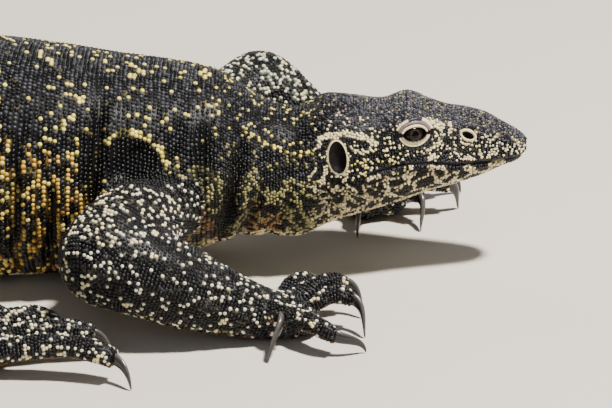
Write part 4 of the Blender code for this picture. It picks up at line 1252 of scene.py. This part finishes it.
def crop_scales(crop):
    """The scales of one length of the body."""
    low, high = float(body_place(crop.start)), float(body_place(crop.end))

    def pitch_at(turn):
        return crop.back + (crop.belly - crop.back) * ramp(-np.sin(turn), 0.35, 0.85)

    def point_at(place, turn):
        return body_surface(np.clip(place, 0.0, BODY_LENGTH), turn)

    span, step = (low, high), crop.row
    at, place, turn, root, way, ahead = sprout(point_at, span, step, pitch_at, crop.scatter, BODY_SAMPLES)
    wide = pitch_at(turn)
    if crop.name == "scales_tail":
        wide = wide * np.interp(at, span, TAIL_TAPER)
    x, y, *_ = body_values(place)
    inward = ((root - np.stack((x, y, root[:, 2]), axis=1)) * way).sum(axis=1) < 0
    inward = np.where(np.abs(way[:, 2]) > 0.8, np.sin(turn) * way[:, 2] < 0, inward)
    way[inward] *= -1
    keep = settle_scales(root, way, "body", LIMB_BLEND) & ~bare_mask(root)
    colour = paint_body(place, turn, *root.T, rng.random(len(root)))
    long, tall = np.full(len(root), step), np.full(len(root), crop.height)
    parts = root, way, ahead, long, wide, tall, colour, place / BODY_LENGTH, turn / (2 * math.pi) + 0.5
    return Scales(*(part[keep] for part in parts))


print("lengths of the body:", [crop.name for crop in CROPS])

# %% [markdown]
# ## Scales of the limbs
# Each segment, palm and digit has one pitch, finer on the toes, and a tile of the unwrap to itself, so
# that no two scales of a limb share a place there.

# %% Scales of limbs and digits
LIMB_SAMPLES, LIMB_SCATTER, LIMB_RISE = 120, 0.13, 0.38
ARM_PITCH, LEG_PITCH, PALM_PITCH, DIGIT_PITCH = 1.78, 1.95, 1.75, 1.7
LEAST_BLEND, NEARLY_CLOSED, CLOSED_END = 6.0, 0.02, 0.03
TILE_COLUMNS, TILE_LINES, TILE_EDGE, TILE_WIDTH = 4, 5, 0.04, 0.92


def pitch_and_blend(chain):
    """The scales' pitch and the softness of the junctions, by the kind of chain."""
    if "digit" in chain.name:
        return DIGIT_PITCH, DIGIT_BLEND
    if chain.name.startswith(("hand", "foot")):
        return PALM_PITCH, PALM_BLEND
    return LEG_PITCH if chain.name.startswith(("thigh", "shin")) else ARM_PITCH, LIMB_BLEND


def chain_scales(chain, tile):
    """The scales of one limb segment, palm or digit, on their own tile of the unwrap."""
    pitch, blend = pitch_and_blend(chain)
    low, high = chain_span(chain)

    def pitch_at(turn):
        return np.full_like(turn, pitch)

    def point_at(place, turn):
        return chain_surface(chain, np.clip(place, low + NEARLY_CLOSED, high - NEARLY_CLOSED), turn)

    span = low + CLOSED_END, high - CLOSED_END
    _, place, turn, root, way, ahead = sprout(point_at, span, pitch, pitch_at, LIMB_SCATTER, LIMB_SAMPLES)
    away = root - chain.path[nearest_step(chain, root)]
    way[(way * away).sum(axis=1) < 0] *= -1
    keep = settle_scales(root, way, chain, max(blend, LEAST_BLEND))
    if "digit" in chain.name:
        keep &= place < chain.length + 0.25 * chain.across[-1]
    colour = paint_chain(chain, place, turn, root, rng.random(len(root)))
    size, tall = pitch_at(turn), np.full(len(root), LIMB_RISE)
    column, line = tile % TILE_COLUMNS, tile // TILE_COLUMNS
    u = (column + TILE_EDGE + TILE_WIDTH * (place - low) / (high - low)) / TILE_COLUMNS
    v = (line + TILE_EDGE + TILE_WIDTH * (turn / (2 * math.pi) + 0.5)) / TILE_LINES
    return Scales(*(part[keep] for part in (root, way, ahead, size, size, tall, colour, u, v)))


print("limb pitches, mm:", ARM_PITCH, LEG_PITCH, PALM_PITCH, DIGIT_PITCH)

# %% [markdown]
# ## From roots to domes
# A foot ring just under the skin, a shoulder ring and a crown point make each scale, with a closed
# underside. The foot's hexagon fits its neighbours'. Every point that would pass below the floor is
# lifted just above it.

# %% Domes
HEX = np.arange(6) * math.pi / 3
FOOT_DEPTH, SHOULDER_SHARE, SHOULDER_RISE = 0.8, 0.76, 0.62
HALF_SCALE, SIZE_DRAW, PALE_GAIN = 0.575, (-0.13, 0.10), 0.05
LEAST_HEIGHTS = np.repeat((0.5, 0.28, 0.12), (6, 6, 1))
SHADE_BASE, SHADE_SPREAD = 0.82, 0.36
DOME_POINTS, PATCH = 13, 0.0013
DOME_FACES = np.array([(k, (k + 1) % 6, 6 + (k + 1) % 6) for k in range(6)]
                      + [(k, 6 + (k + 1) % 6, 6 + k) for k in range(6)]
                      + [(6 + k, 6 + (k + 1) % 6, 12) for k in range(6)]
                      + [(0, k + 1, k) for k in range(1, 5)])
DOME_RING = np.vstack((np.column_stack((np.cos(HEX), np.sin(HEX))),
                       SHOULDER_SHARE * np.column_stack((np.cos(HEX), np.sin(HEX))), ((0.0, 0.0),)))
DOME_RISE = np.concatenate((np.full(6, -FOOT_DEPTH), np.full(6, SHOULDER_RISE), (1.0,)))


def dome_mesh(name, scales):
    """All these scales as one mesh: every dome is the same 13 points in its own axes."""
    ahead = scales.ahead - (scales.ahead * scales.outward).sum(axis=1)[:, None] * scales.outward
    ahead /= np.maximum(np.linalg.norm(ahead, axis=1), TINY)[:, None]
    across = np.cross(scales.outward, ahead)
    pale = ramp(scales.colour.max(axis=1), 0.2, 0.5)
    size = 1 + rng.uniform(*SIZE_DRAW, len(ahead)) + PALE_GAIN * pale
    long = HALF_SCALE * scales.long * size
    wide = HALF_SCALE * scales.wide * size
    tall = scales.tall * np.minimum(scales.long, scales.wide) * size
    point = scales.root[:, None, :] + (ahead * long[:, None])[:, None, :] * DOME_RING[None, :, :1]
    point = point + (across * wide[:, None])[:, None, :] * DOME_RING[None, :, 1:]
    point = point + (scales.outward * tall[:, None])[:, None, :] * DOME_RISE[None, :, None]
    point[..., 2] = np.maximum(point[..., 2], LEAST_HEIGHTS[None, :])
    corners = (DOME_FACES.ravel()[None, :] + DOME_POINTS * np.arange(len(ahead))[:, None]).ravel()
    shade = SHADE_BASE + SHADE_SPREAD * rng.random(len(ahead))
    colour = np.repeat(scales.colour * shade[:, None], DOME_POINTS, axis=0)
    patch = np.column_stack((scales.u, scales.v))[:, None, :] + PATCH * DOME_RING[None]
    patch = np.clip(patch.reshape(-1, 2)[corners], 0.0, 1.0)
    print(name, "scales", len(ahead), "triangles", len(corners) // 3)
    return add_mesh(name, point.reshape(-1, 3), corners, np.full(len(corners) // 3, 3), colour, patch)


def spaced(scales):
    """Scales of joined shapes thinned where two share a cell of half a scale's width."""
    cell = np.floor(scales.root / (0.5 * scales.wide.min())).astype(np.int64)
    key = (cell[:, 0] * 73856093) ^ (cell[:, 1] * 19349663) ^ (cell[:, 2] * 83492791)
    lone = np.unique(key, return_index=True)[1]
    return Scales(*(part[lone] for part in scales))


scale_pieces = [dome_mesh(crop.name, crop_scales(crop)) for crop in CROPS]
LIMB_SETS = {"arm": ("upper_arm", "forearm", "hand"), "leg": ("thigh", "shin"), "foot": ("foot",)}
for word, names in LIMB_SETS.items():
    for side in ("right", "left"):
        chains = [c for c in CHAINS if c.name.startswith(names) and f"_{side}" in c.name]
        sets = [chain_scales(chain, tile) for tile, chain in enumerate(chains)]
        joined = Scales(*(np.concatenate(parts) for parts in zip(*sets)))
        scale_pieces.append(dome_mesh(f"scales_{word}_{side}", spaced(joined)))
print("scales in all:", sum(len(o.data.vertices) // DOME_POINTS for o in scale_pieces))

# %% [markdown]
# ## The side of the head
# A lid is known by how far ahead and how high its points are. Halving the turn again and again finds the
# point of the head at that height, and small steps on the surface give the way out of it.

# %% Points of the head's side
HALVINGS = 26


def cheek_points(x, z, side):
    """Points of the head's side at these x and heights: halving finds the turn."""
    place = body_place(x)
    low = np.full(x.shape, -math.pi / 2)
    high = np.full(x.shape, math.pi / 2)

    def read(turn):
        return body_surface(place, np.where(side > 0, turn, math.pi - turn), hollows=False)

    for _ in range(HALVINGS):
        middle = 0.5 * (low + high)
        below = read(middle)[..., 2] < z
        low = np.where(below, middle, low)
        high = np.where(below, high, middle)
    return read(0.5 * (low + high))


def cheek_frame(x, z, side, step=0.7):
    """Points of the head's side and the outward way at each."""
    here = cheek_points(x, z, side)
    along_way = cheek_points(x + step, z, side) - cheek_points(x - step, z, side)
    up_way = cheek_points(x, z + step, side) - cheek_points(x, z - step, side)
    way = np.cross(along_way, up_way)
    way /= np.linalg.norm(way, axis=-1)[..., None]
    return here, np.where(way[..., 1:2] * side < 0, -way, way)


print("halvings to find a point of the head:", HALVINGS)

# %% [markdown]
# ## Lids and rims
# A collar is a ring of skin with a shaped profile, closed underneath. One recipe makes the lids with
# their folds, the rim of the nostril and the rim of the ear. The profile lists how far out and how high
# each step is.

# %% Collars
COLLAR_STEPS, UNDERSIDE = 96, -0.1
Opening = namedtuple("Opening", "name hollow half_along half_up pointed lift profile bands")
# A step of a profile: how far out from the margin, and how high. A band: two distances out, two turns in
# degrees, a tone, and the level that a quick wave has to pass, which breaks a band into dashes if above 0.
WHOLE, DASHED, OVER, UNDER = -2.0, 0.1, (12, 168), (195, 345)
RIM_BAND = ((-0.2, 1.15, -1, 361, CREAM * 0.9, WHOLE),)
OPENINGS = (
    Opening("lids", EYE, 5.4, 3.35, 1.15, 0.0,
            ((0.6, -2.8), (0.1, -1.4), (-0.35, 0.2), (-0.2, 0.95), (0.15, 1.3), (0.6, 1.25), (0.95, 0.75),
             (1.15, 0.25), (1.45, 0.55), (1.9, 0.8), (2.35, 0.62), (2.6, 0.25), (2.9, 0.45), (3.3, 0.62),
             (3.7, 0.4), (4.0, 0.1), (4.4, -0.3), (4.0, -1.6), (2.0, -2.9)),
            ((0.0, 1.0, *OVER, CREAM, WHOLE), (0.1, 0.5, *UNDER, BROWN * 0.7, WHOLE),
             (1.2, 2.5, *OVER, MAUVE, WHOLE), (0.5, 2.1, *UNDER, CREAM * 0.9, WHOLE),
             (2.8, 3.9, 18, 66, CREAM, WHOLE), (2.8, 3.9, 66, 112, SLATE, WHOLE),
             (2.8, 3.9, 112, 158, CREAM * 0.9, WHOLE), (2.8, 3.9, *UNDER, SLATE, DASHED))),
    Opening("nostril_rim", NOSTRIL, 3.2, 1.6, 1.0, 0.1,
            ((0.3, -2.4), (-0.1, -0.8), (-0.1, 0.0), (0.1, 0.45), (0.4, 0.6), (0.75, 0.45), (1.1, 0.1),
             (1.3, -0.5), (0.8, -1.8)), RIM_BAND),
    Opening("ear_rim", EAR, 4.4, 7.5, 1.0, 0.0,
            ((0.3, -2.6), (-0.3, -1.4), (-0.35, -0.3), (-0.2, 0.25), (0.05, 0.45), (0.35, 0.35), (0.6, 0.1),
             (0.9, -0.6), (0.6, -1.8)), RIM_BAND),
)


def collar(opening, side):
    """A ring of skin round an opening: its profile swept round, with fine wrinkles on the high steps."""
    turn = np.linspace(0.0, 2 * math.pi, COLLAR_STEPS, endpoint=False)
    out, steps_high = (values[None, :] for values in np.array(opening.profile).T)
    round_cos, round_sin = np.cos(turn)[:, None], np.sin(turn)[:, None]
    wrinkle = 0.07 * np.sin(23 * turn) + 0.05 * np.sin(41 * turn + 1.0)
    height = steps_high * (1 + 0.22 * round_sin) + np.where(steps_high > 0.3, wrinkle[:, None], 0.0)
    u = (opening.half_along + out * (1 + opening.lift * round_cos ** 2)) * round_cos
    v = (opening.half_up + out) * (np.sign(round_sin) * np.abs(round_sin) ** opening.pointed)
    hollow = opening.hollow
    lean = math.radians(hollow.tilt)
    here, way = cheek_frame(hollow.x + u * math.cos(lean) - v * math.sin(lean),
                            hollow.z + u * math.sin(lean) + v * math.cos(lean), side)
    grid = here + way * height[..., None]
    index = np.arange(grid.shape[0] * grid.shape[1]).reshape(grid.shape[:2])
    down, over = np.roll(index, -1, axis=0), np.roll(index, -1, axis=1)
    faces = np.stack((index, down, np.roll(down, -1, axis=1), over), axis=-1).reshape(-1, 4)
    sizes, points = np.full(len(faces), 4), grid.reshape(-1, 3)
    outs, degrees = (values.ravel() for values in np.broadcast_arrays(out, np.degrees(turn)[:, None]))
    colour = np.tile(BLACK, (len(outs), 1))
    for near, far, first, last, shade, level in opening.bands:
        within = (outs > near) & (outs < far) & (degrees > first) & (degrees < last)
        lay(colour, (within & (np.sin(degrees * 0.5) > level), shade))
    colour[np.tile(height[0] < UNDERSIDE, len(grid))] = BLACK
    name = f"{opening.name}_{'left' if side > 0 else 'right'}"
    return add_mesh(name, points, outward(points, faces.ravel(), sizes), sizes, colour)


rim_pieces = [collar(opening, side) for side in (-1, 1) for opening in OPENINGS]
print("rims:", [o.name for o in rim_pieces])

# %% [markdown]
# ## Eyes
# A ball with a low cornea, a millimetre deeper than the solid's, because the lids are finer here. The
# ring from the gaze axis is kept as an attribute, so one material draws pupil, bronze ring and dark iris
# on both eyes.

# %% Build the eyes
EYE_RADIUS, EYE_DEPTH, CORNEA_RISE, CORNEA_REACH = 6.1, 5.0, 0.4, 0.5
EYE_STEPS, POLE_GAP = 48, 0.02


def eye_mesh(name, side):
    """A ball round its gaze: rings by angle from the axis, raised a little near it as the cornea."""
    here, way = cheek_frame(np.array([EYE.x]), np.array([EYE.z]), side)
    gaze, middle = way[0], here[0] - way[0] * (EYE_DEPTH - COAT_DEPTH)
    level = np.cross((0.0, 0.0, 1.0), gaze)
    level /= np.linalg.norm(level)
    rise = np.cross(gaze, level)
    away = np.linspace(POLE_GAP, math.pi - POLE_GAP, EYE_STEPS)
    turn = turns(EYE_STEPS)
    radius = EYE_RADIUS + CORNEA_RISE * bell(away / CORNEA_REACH)
    flat = (level[None] * np.cos(turn)[:, None] + rise[None] * np.sin(turn)[:, None])[None]
    ways = np.cos(away)[:, None, None] * gaze + np.sin(away)[:, None, None] * flat
    ring = np.concatenate((np.repeat(away, EYE_STEPS), (0.0, math.pi)))
    fleck = np.concatenate((np.tile(turn, EYE_STEPS), (0.0, 0.0)))
    colour = np.column_stack((ring / math.pi, 0.5 + 0.5 * np.sin(fleck * 9), np.zeros(len(ring))))
    return add_mesh(name, *tube_mesh(middle + radius[:, None, None] * ways), colour)


eyes = [eye_mesh("eye_surface_right", -1), eye_mesh("eye_surface_left", 1)]
print("eyes:", [o.name for o in eyes])

# %% [markdown]
# ## Claws
# A claw follows the same curve as the solid's, with more rings, a sharper back ridge and a shallow groove
# on each side. The attribute holds how far along and how high on the side each point is.

# %% Build the claws
CLAW_ROWS, CLAW_SIDES = 26, 20
CLAW_HALF_HEIGHT, CLAW_HALF_WIDTH, CLAW_ROOT_GAP = 3.2, 2.1, 0.3
CLAW_BEND, CLAW_DROP, TIP_LEAN, ROW_EASE = 0.38, 0.33, 0.05, 0.9
RIDGE, RIDGE_WIDTH, SIDE_GROOVE, GROOVE_WIDTH = 0.10, 0.5, 0.10, 0.2
CLAW_SLENDERNESS, CLAW_POINT, LEAST_CLAW_HEIGHT = 0.8, 0.2, 0.05


def claw_grid(foot, digit):
    """Rings along a cubic curve from the digit's end to the floor, taller than wide and tapering."""
    _, _, root, tip, leaving = digit_course(foot, digit)
    start = root + leaving * CLAW_ROOT_GAP
    chord = np.linalg.norm(tip - start)
    drop = np.array((0.0, 0.0, CLAW_DROP * chord))
    share = np.linspace(0.0, 1.0, CLAW_ROWS) ** ROW_EASE
    guides = (start, start + leaving * CLAW_BEND * chord, tip + drop - leaving * TIP_LEAN * chord, tip)
    path = bezier(guides, share)
    _, side, up = path_frames(path, 0, leaving)
    taper = (1 - share) ** CLAW_SLENDERNESS
    wide = CLAW_POINT + (CLAW_HALF_WIDTH - CLAW_POINT) * taper
    high = CLAW_POINT + (CLAW_HALF_HEIGHT - CLAW_POINT) * taper
    turn = turns(CLAW_SIDES)
    shape = 1 + RIDGE * bell((turn - math.pi / 2) / RIDGE_WIDTH)
    shape = shape - SIDE_GROOVE * bell((np.abs(np.cos(turn)) - 1) / GROOVE_WIDTH)
    grid = path[:, None] + side[:, None] * (wide[:, None] * np.cos(turn) * shape)[..., None]
    grid = grid + up[:, None] * (high[:, None] * np.sin(turn) * shape)[..., None]
    grid[..., 2] = np.maximum(grid[..., 2], LEAST_CLAW_HEIGHT)
    value = np.stack(np.broadcast_arrays(share[:, None], 0.5 + 0.5 * np.sin(turn)[None], 0.0), axis=-1)
    return grid, np.vstack((value.reshape(-1, 3), (0.0, 0.5, 0.0), (1.0, 0.5, 0.0)))


claws = []
for foot in HANDS_AND_FEET:
    grids, values = zip(*(claw_grid(foot, digit) for digit in foot.digits))
    claws.append(add_mesh(f"claws_{foot.name}", *tubes_joined(grids), np.vstack(values)))
print("claw sets:", [o.name for o in claws])

# %% [markdown]
# ## Nodes in few words
# Every finish is a small net of nodes. These helpers make a node and feed its inputs in one line, which
# keeps the finishes themselves short to read.

# %% Node helpers
def feed(tree, node, inputs):
    """Each named input of the node takes a constant, or a link from another node's output."""
    for name, value in inputs.items():
        if isinstance(value, bpy.types.NodeSocket):
            tree.links.new(value, node.inputs[name])
        else:
            node.inputs[name].default_value = value
    return node


def add_node(tree, kind, inputs):
    """A new node of this kind with these inputs."""
    return feed(tree, tree.nodes.new(kind), inputs)


def noise(tree, position, scale, detail):
    """A cloudy value from 0 to 1 over a position."""
    inputs = {"Vector": position, "Scale": scale, "Detail": detail}
    return add_node(tree, "ShaderNodeTexNoise", inputs).outputs["Fac"]


def spread(tree, value, span, reach):
    """A value stretched from one span onto another."""
    ends = zip(("From Min", "From Max", "To Min", "To Max"), (*span, *reach))
    return add_node(tree, "ShaderNodeMapRange", {"Value": value, **dict(ends)}).outputs["Result"]


def dimmed(tree, colour, amount):
    """A colour times an amount."""
    node = tree.nodes.new("ShaderNodeVectorMath")
    node.operation = "SCALE"
    return feed(tree, node, {0: colour, "Scale": amount}).outputs["Vector"]


print("node helpers ready")

# %% [markdown]
# ## Skin and scales
# One node group turns the painted colour into a living surface: fine mottling, a faint grain and a varied
# gloss. Scales and skin share it, each with its own values.

# %% Finish of skin and scales
def surface_group():
    """Group: paint and position in, mottled colour, roughness and a fine bumped normal out."""
    tree = bpy.data.node_groups.new("lizard_surface", "ShaderNodeTree")
    for name, way, kind in (("Paint", "INPUT", "Color"), ("Position", "INPUT", "Vector"),
                            ("Bump height", "INPUT", "Float"), ("Colour", "OUTPUT", "Color"),
                            ("Roughness", "OUTPUT", "Float"), ("Normal", "OUTPUT", "Vector")):
        tree.interface.new_socket(name, in_out=way, socket_type=f"NodeSocket{kind}")
    source = tree.nodes.new("NodeGroupInput").outputs
    fine = noise(tree, source["Position"], 2600.0, 2.0)
    mottle = spread(tree, noise(tree, source["Position"], 320.0, 5.0), (0.3, 0.7), (0.74, 1.18))
    bump = add_node(tree, "ShaderNodeBump", {"Distance": 0.00006, "Strength": source["Bump height"],
                                             "Height": fine})
    add_node(tree, "NodeGroupOutput", {"Colour": dimmed(tree, source["Paint"], mottle),
                                       "Roughness": spread(tree, fine, (0.3, 0.7), (0.22, 0.38)),
                                       "Normal": bump.outputs["Normal"]})
    return tree


def new_material(name):
    """A material, its tree, its shader, its own paint and its own position."""
    material = bpy.data.materials.new(name)
    material.use_nodes = True
    tree = material.node_tree
    paint = tree.nodes.new("ShaderNodeAttribute")
    paint.attribute_name = "paint"
    where = tree.nodes.new("ShaderNodeTexCoord")
    return material, tree, tree.nodes["Principled BSDF"], paint.outputs["Color"], where.outputs["Object"]


def surface_material(name, group_tree, bump, roughness_shift, coat, shine):
    """Principled on the shared group, fed by the piece's own paint."""
    material, tree, shader, paint, where = new_material(name)
    group = tree.nodes.new("ShaderNodeGroup")
    group.node_tree = group_tree
    feed(tree, group, {"Paint": paint, "Position": where, "Bump height": bump})
    rough = add_node(tree, "ShaderNodeMath", {0: group.outputs["Roughness"], 1: roughness_shift})
    feed(tree, shader, {"Base Color": group.outputs["Colour"], "Roughness": rough.outputs["Value"],
                        "Normal": group.outputs["Normal"], "Coat Weight": coat, "Coat Roughness": 0.3,
                        "Specular IOR Level": shine})
    return material


SURFACE = surface_group()
SKIN_MATERIAL = surface_material("lizard_skin", SURFACE, 0.8, 0.10, 0.0, 0.12)
SCALE_MATERIAL = surface_material("lizard_scales", SURFACE, 0.5, -0.02, 0.04, 0.30)
print("finishes:", SKIN_MATERIAL.name, SCALE_MATERIAL.name)

# %% [markdown]
# ## Eye and horn
# Both read their own attribute through a ramp of tones: the ring from the gaze axis on the eye, and the
# height on the side of a claw.

# %% Finish of eyes and claws
def ringed_material(name, channel, stops, scale, detail, reach, finish):
    """A colour ramp over one channel of the piece's own attribute, flecked by a noise."""
    material, tree, shader, paint, where = new_material(name)
    parts = add_node(tree, "ShaderNodeSeparateColor", {"Color": paint})
    ramp_node = add_node(tree, "ShaderNodeValToRGB", {"Fac": parts.outputs[channel]})
    elements = ramp_node.color_ramp.elements
    while len(elements) < len(stops):
        elements.new(0.5)
    for element, (position, colour) in zip(elements, stops):
        element.position = position
        element.color = (*colour, 1.0)
    fleck = spread(tree, noise(tree, where, scale, detail), (0.0, 1.0), reach)
    feed(tree, shader, {"Base Color": dimmed(tree, ramp_node.outputs["Color"], fleck), **finish})
    return material


PUPIL, BRONZE = (0.002, 0.002, 0.002), (0.038, 0.022, 0.011)
IRIS, RIM = (0.007, 0.005, 0.004), (0.006, 0.005, 0.005)
EYE_STOPS = ((0.0, PUPIL), (0.092, PUPIL), (0.100, BRONZE), (0.116, BRONZE), (0.135, IRIS), (0.22, IRIS),
             (0.25, RIM), (1.0, RIM))
EYE_MATERIAL = ringed_material("eye_wet", "Red", EYE_STOPS, 1400.0, 2.0, (0.6, 1.4),
                               {"Roughness": 0.05, "Specular IOR Level": 0.3, "IOR": 1.36})
HORN_DARK, HORN_GREY, HORN_PALE = (0.008, 0.007, 0.007), (0.022, 0.021, 0.023), (0.075, 0.068, 0.062)
CLAW_STOPS = ((0.0, HORN_PALE), (0.16, HORN_GREY), (0.45, HORN_DARK), (0.80, HORN_GREY), (1.0, HORN_PALE))
CLAW_MATERIAL = ringed_material("claw_horn", "Green", CLAW_STOPS, 900.0, 4.0, (0.55, 1.5),
                                {"Roughness": 0.2})
print("finishes:", EYE_MATERIAL.name, CLAW_MATERIAL.name)

# %% [markdown]
# ## Hand the pieces over
# Each piece rides on the one body and stands for its solids. The skin stands for all flesh.

# %% Ride and replace
FLESH = [name for name in frame["nodes"] if not name.startswith(("eye", "claw"))]
for obj in [skin] + scale_pieces + rim_pieces:
    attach(obj, "root")
    obj.data.materials.append(SKIN_MATERIAL if obj is skin else SCALE_MATERIAL)
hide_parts(*FLESH)
for obj, node in zip(eyes, ("eye_right", "eye_left")):
    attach(obj, "root")
    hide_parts(node)
    obj.data.materials.append(EYE_MATERIAL)
for obj, foot in zip(claws, HANDS_AND_FEET):
    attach(obj, "root")
    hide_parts(*[f"claw_{foot.name}_{number}" for number in range(1, 6)])
    obj.data.materials.append(CLAW_MATERIAL)
print("flesh nodes replaced:", len(FLESH))

# %% [markdown]
# ## Studio
# A pale floor, a high soft key from the right, a weak fill and a light behind. The camera keeps the
# photo's angle: square to the right flank, from 22 degrees above, far enough off to flatten the view.

# %% Floor, lights and camera
HEAD_SPOT, BACK_SPOT = (0.52, -0.03, 0.06), (0.2, 0.0, 0.05)
LIGHTS = (
    ("key", (1.25, -0.35, 2.1), HEAD_SPOT, 0.20, 146.0, (1.0, 0.95, 0.88)),
    ("fill", (0.1, -2.2, 1.3), HEAD_SPOT, 1.6, 7.0, (0.88, 0.93, 1.0)),
    ("back", (-0.9, 1.5, 1.2), BACK_SPOT, 1.0, 14.0, (1.0, 0.97, 0.92)),
)
TARGET = Vector((0.496474, -0.0331, 0.029))
ELEVATION, DISTANCE, LENS, SENSOR = math.radians(22.0), 2.6, 318.1, 36.0


def aim(obj, location, target):
    """Puts a light or camera at a place, looking at the target."""
    obj.location = location
    obj.rotation_euler = (Vector(target) - Vector(location)).to_track_quat("-Z", "Y").to_euler()
    return obj


floor_mesh = bpy.data.meshes.new("floor")
floor_mesh.from_pydata([(-6, -6, 0), (6, -6, 0), (6, 6, 0), (-6, 6, 0)], [], [(0, 1, 2, 3)])
floor_material = bpy.data.materials.new("pale_floor")
floor_material.use_nodes = True
feed(floor_material.node_tree, floor_material.node_tree.nodes["Principled BSDF"],
     {"Base Color": (0.62, 0.57, 0.50, 1.0), "Roughness": 0.75})
floor_mesh.materials.append(floor_material)
floor = put("floor", floor_mesh)
for name, location, target, size, power, colour in LIGHTS:
    light = bpy.data.lights.new(name, "AREA")
    light.size, light.energy, light.color = size, power, colour
    aim(put(name, light), location, target)
world = bpy.data.worlds.new("studio")
world.use_nodes = True
feed(world.node_tree, world.node_tree.nodes["Background"],
     {"Color": (0.82, 0.88, 1.0, 1.0), "Strength": 0.155})
bpy.context.scene.world = world
camera_data = bpy.data.cameras.new("photo")
camera_data.lens, camera_data.sensor_width, camera_data.clip_end = LENS, SENSOR, 20.0
camera_place = TARGET + DISTANCE * Vector((0.0, -math.cos(ELEVATION), math.sin(ELEVATION)))
camera = aim(put("photo", camera_data), camera_place, TARGET)
bpy.context.scene.camera = camera
print("camera at", tuple(round(v, 3) for v in camera.location))
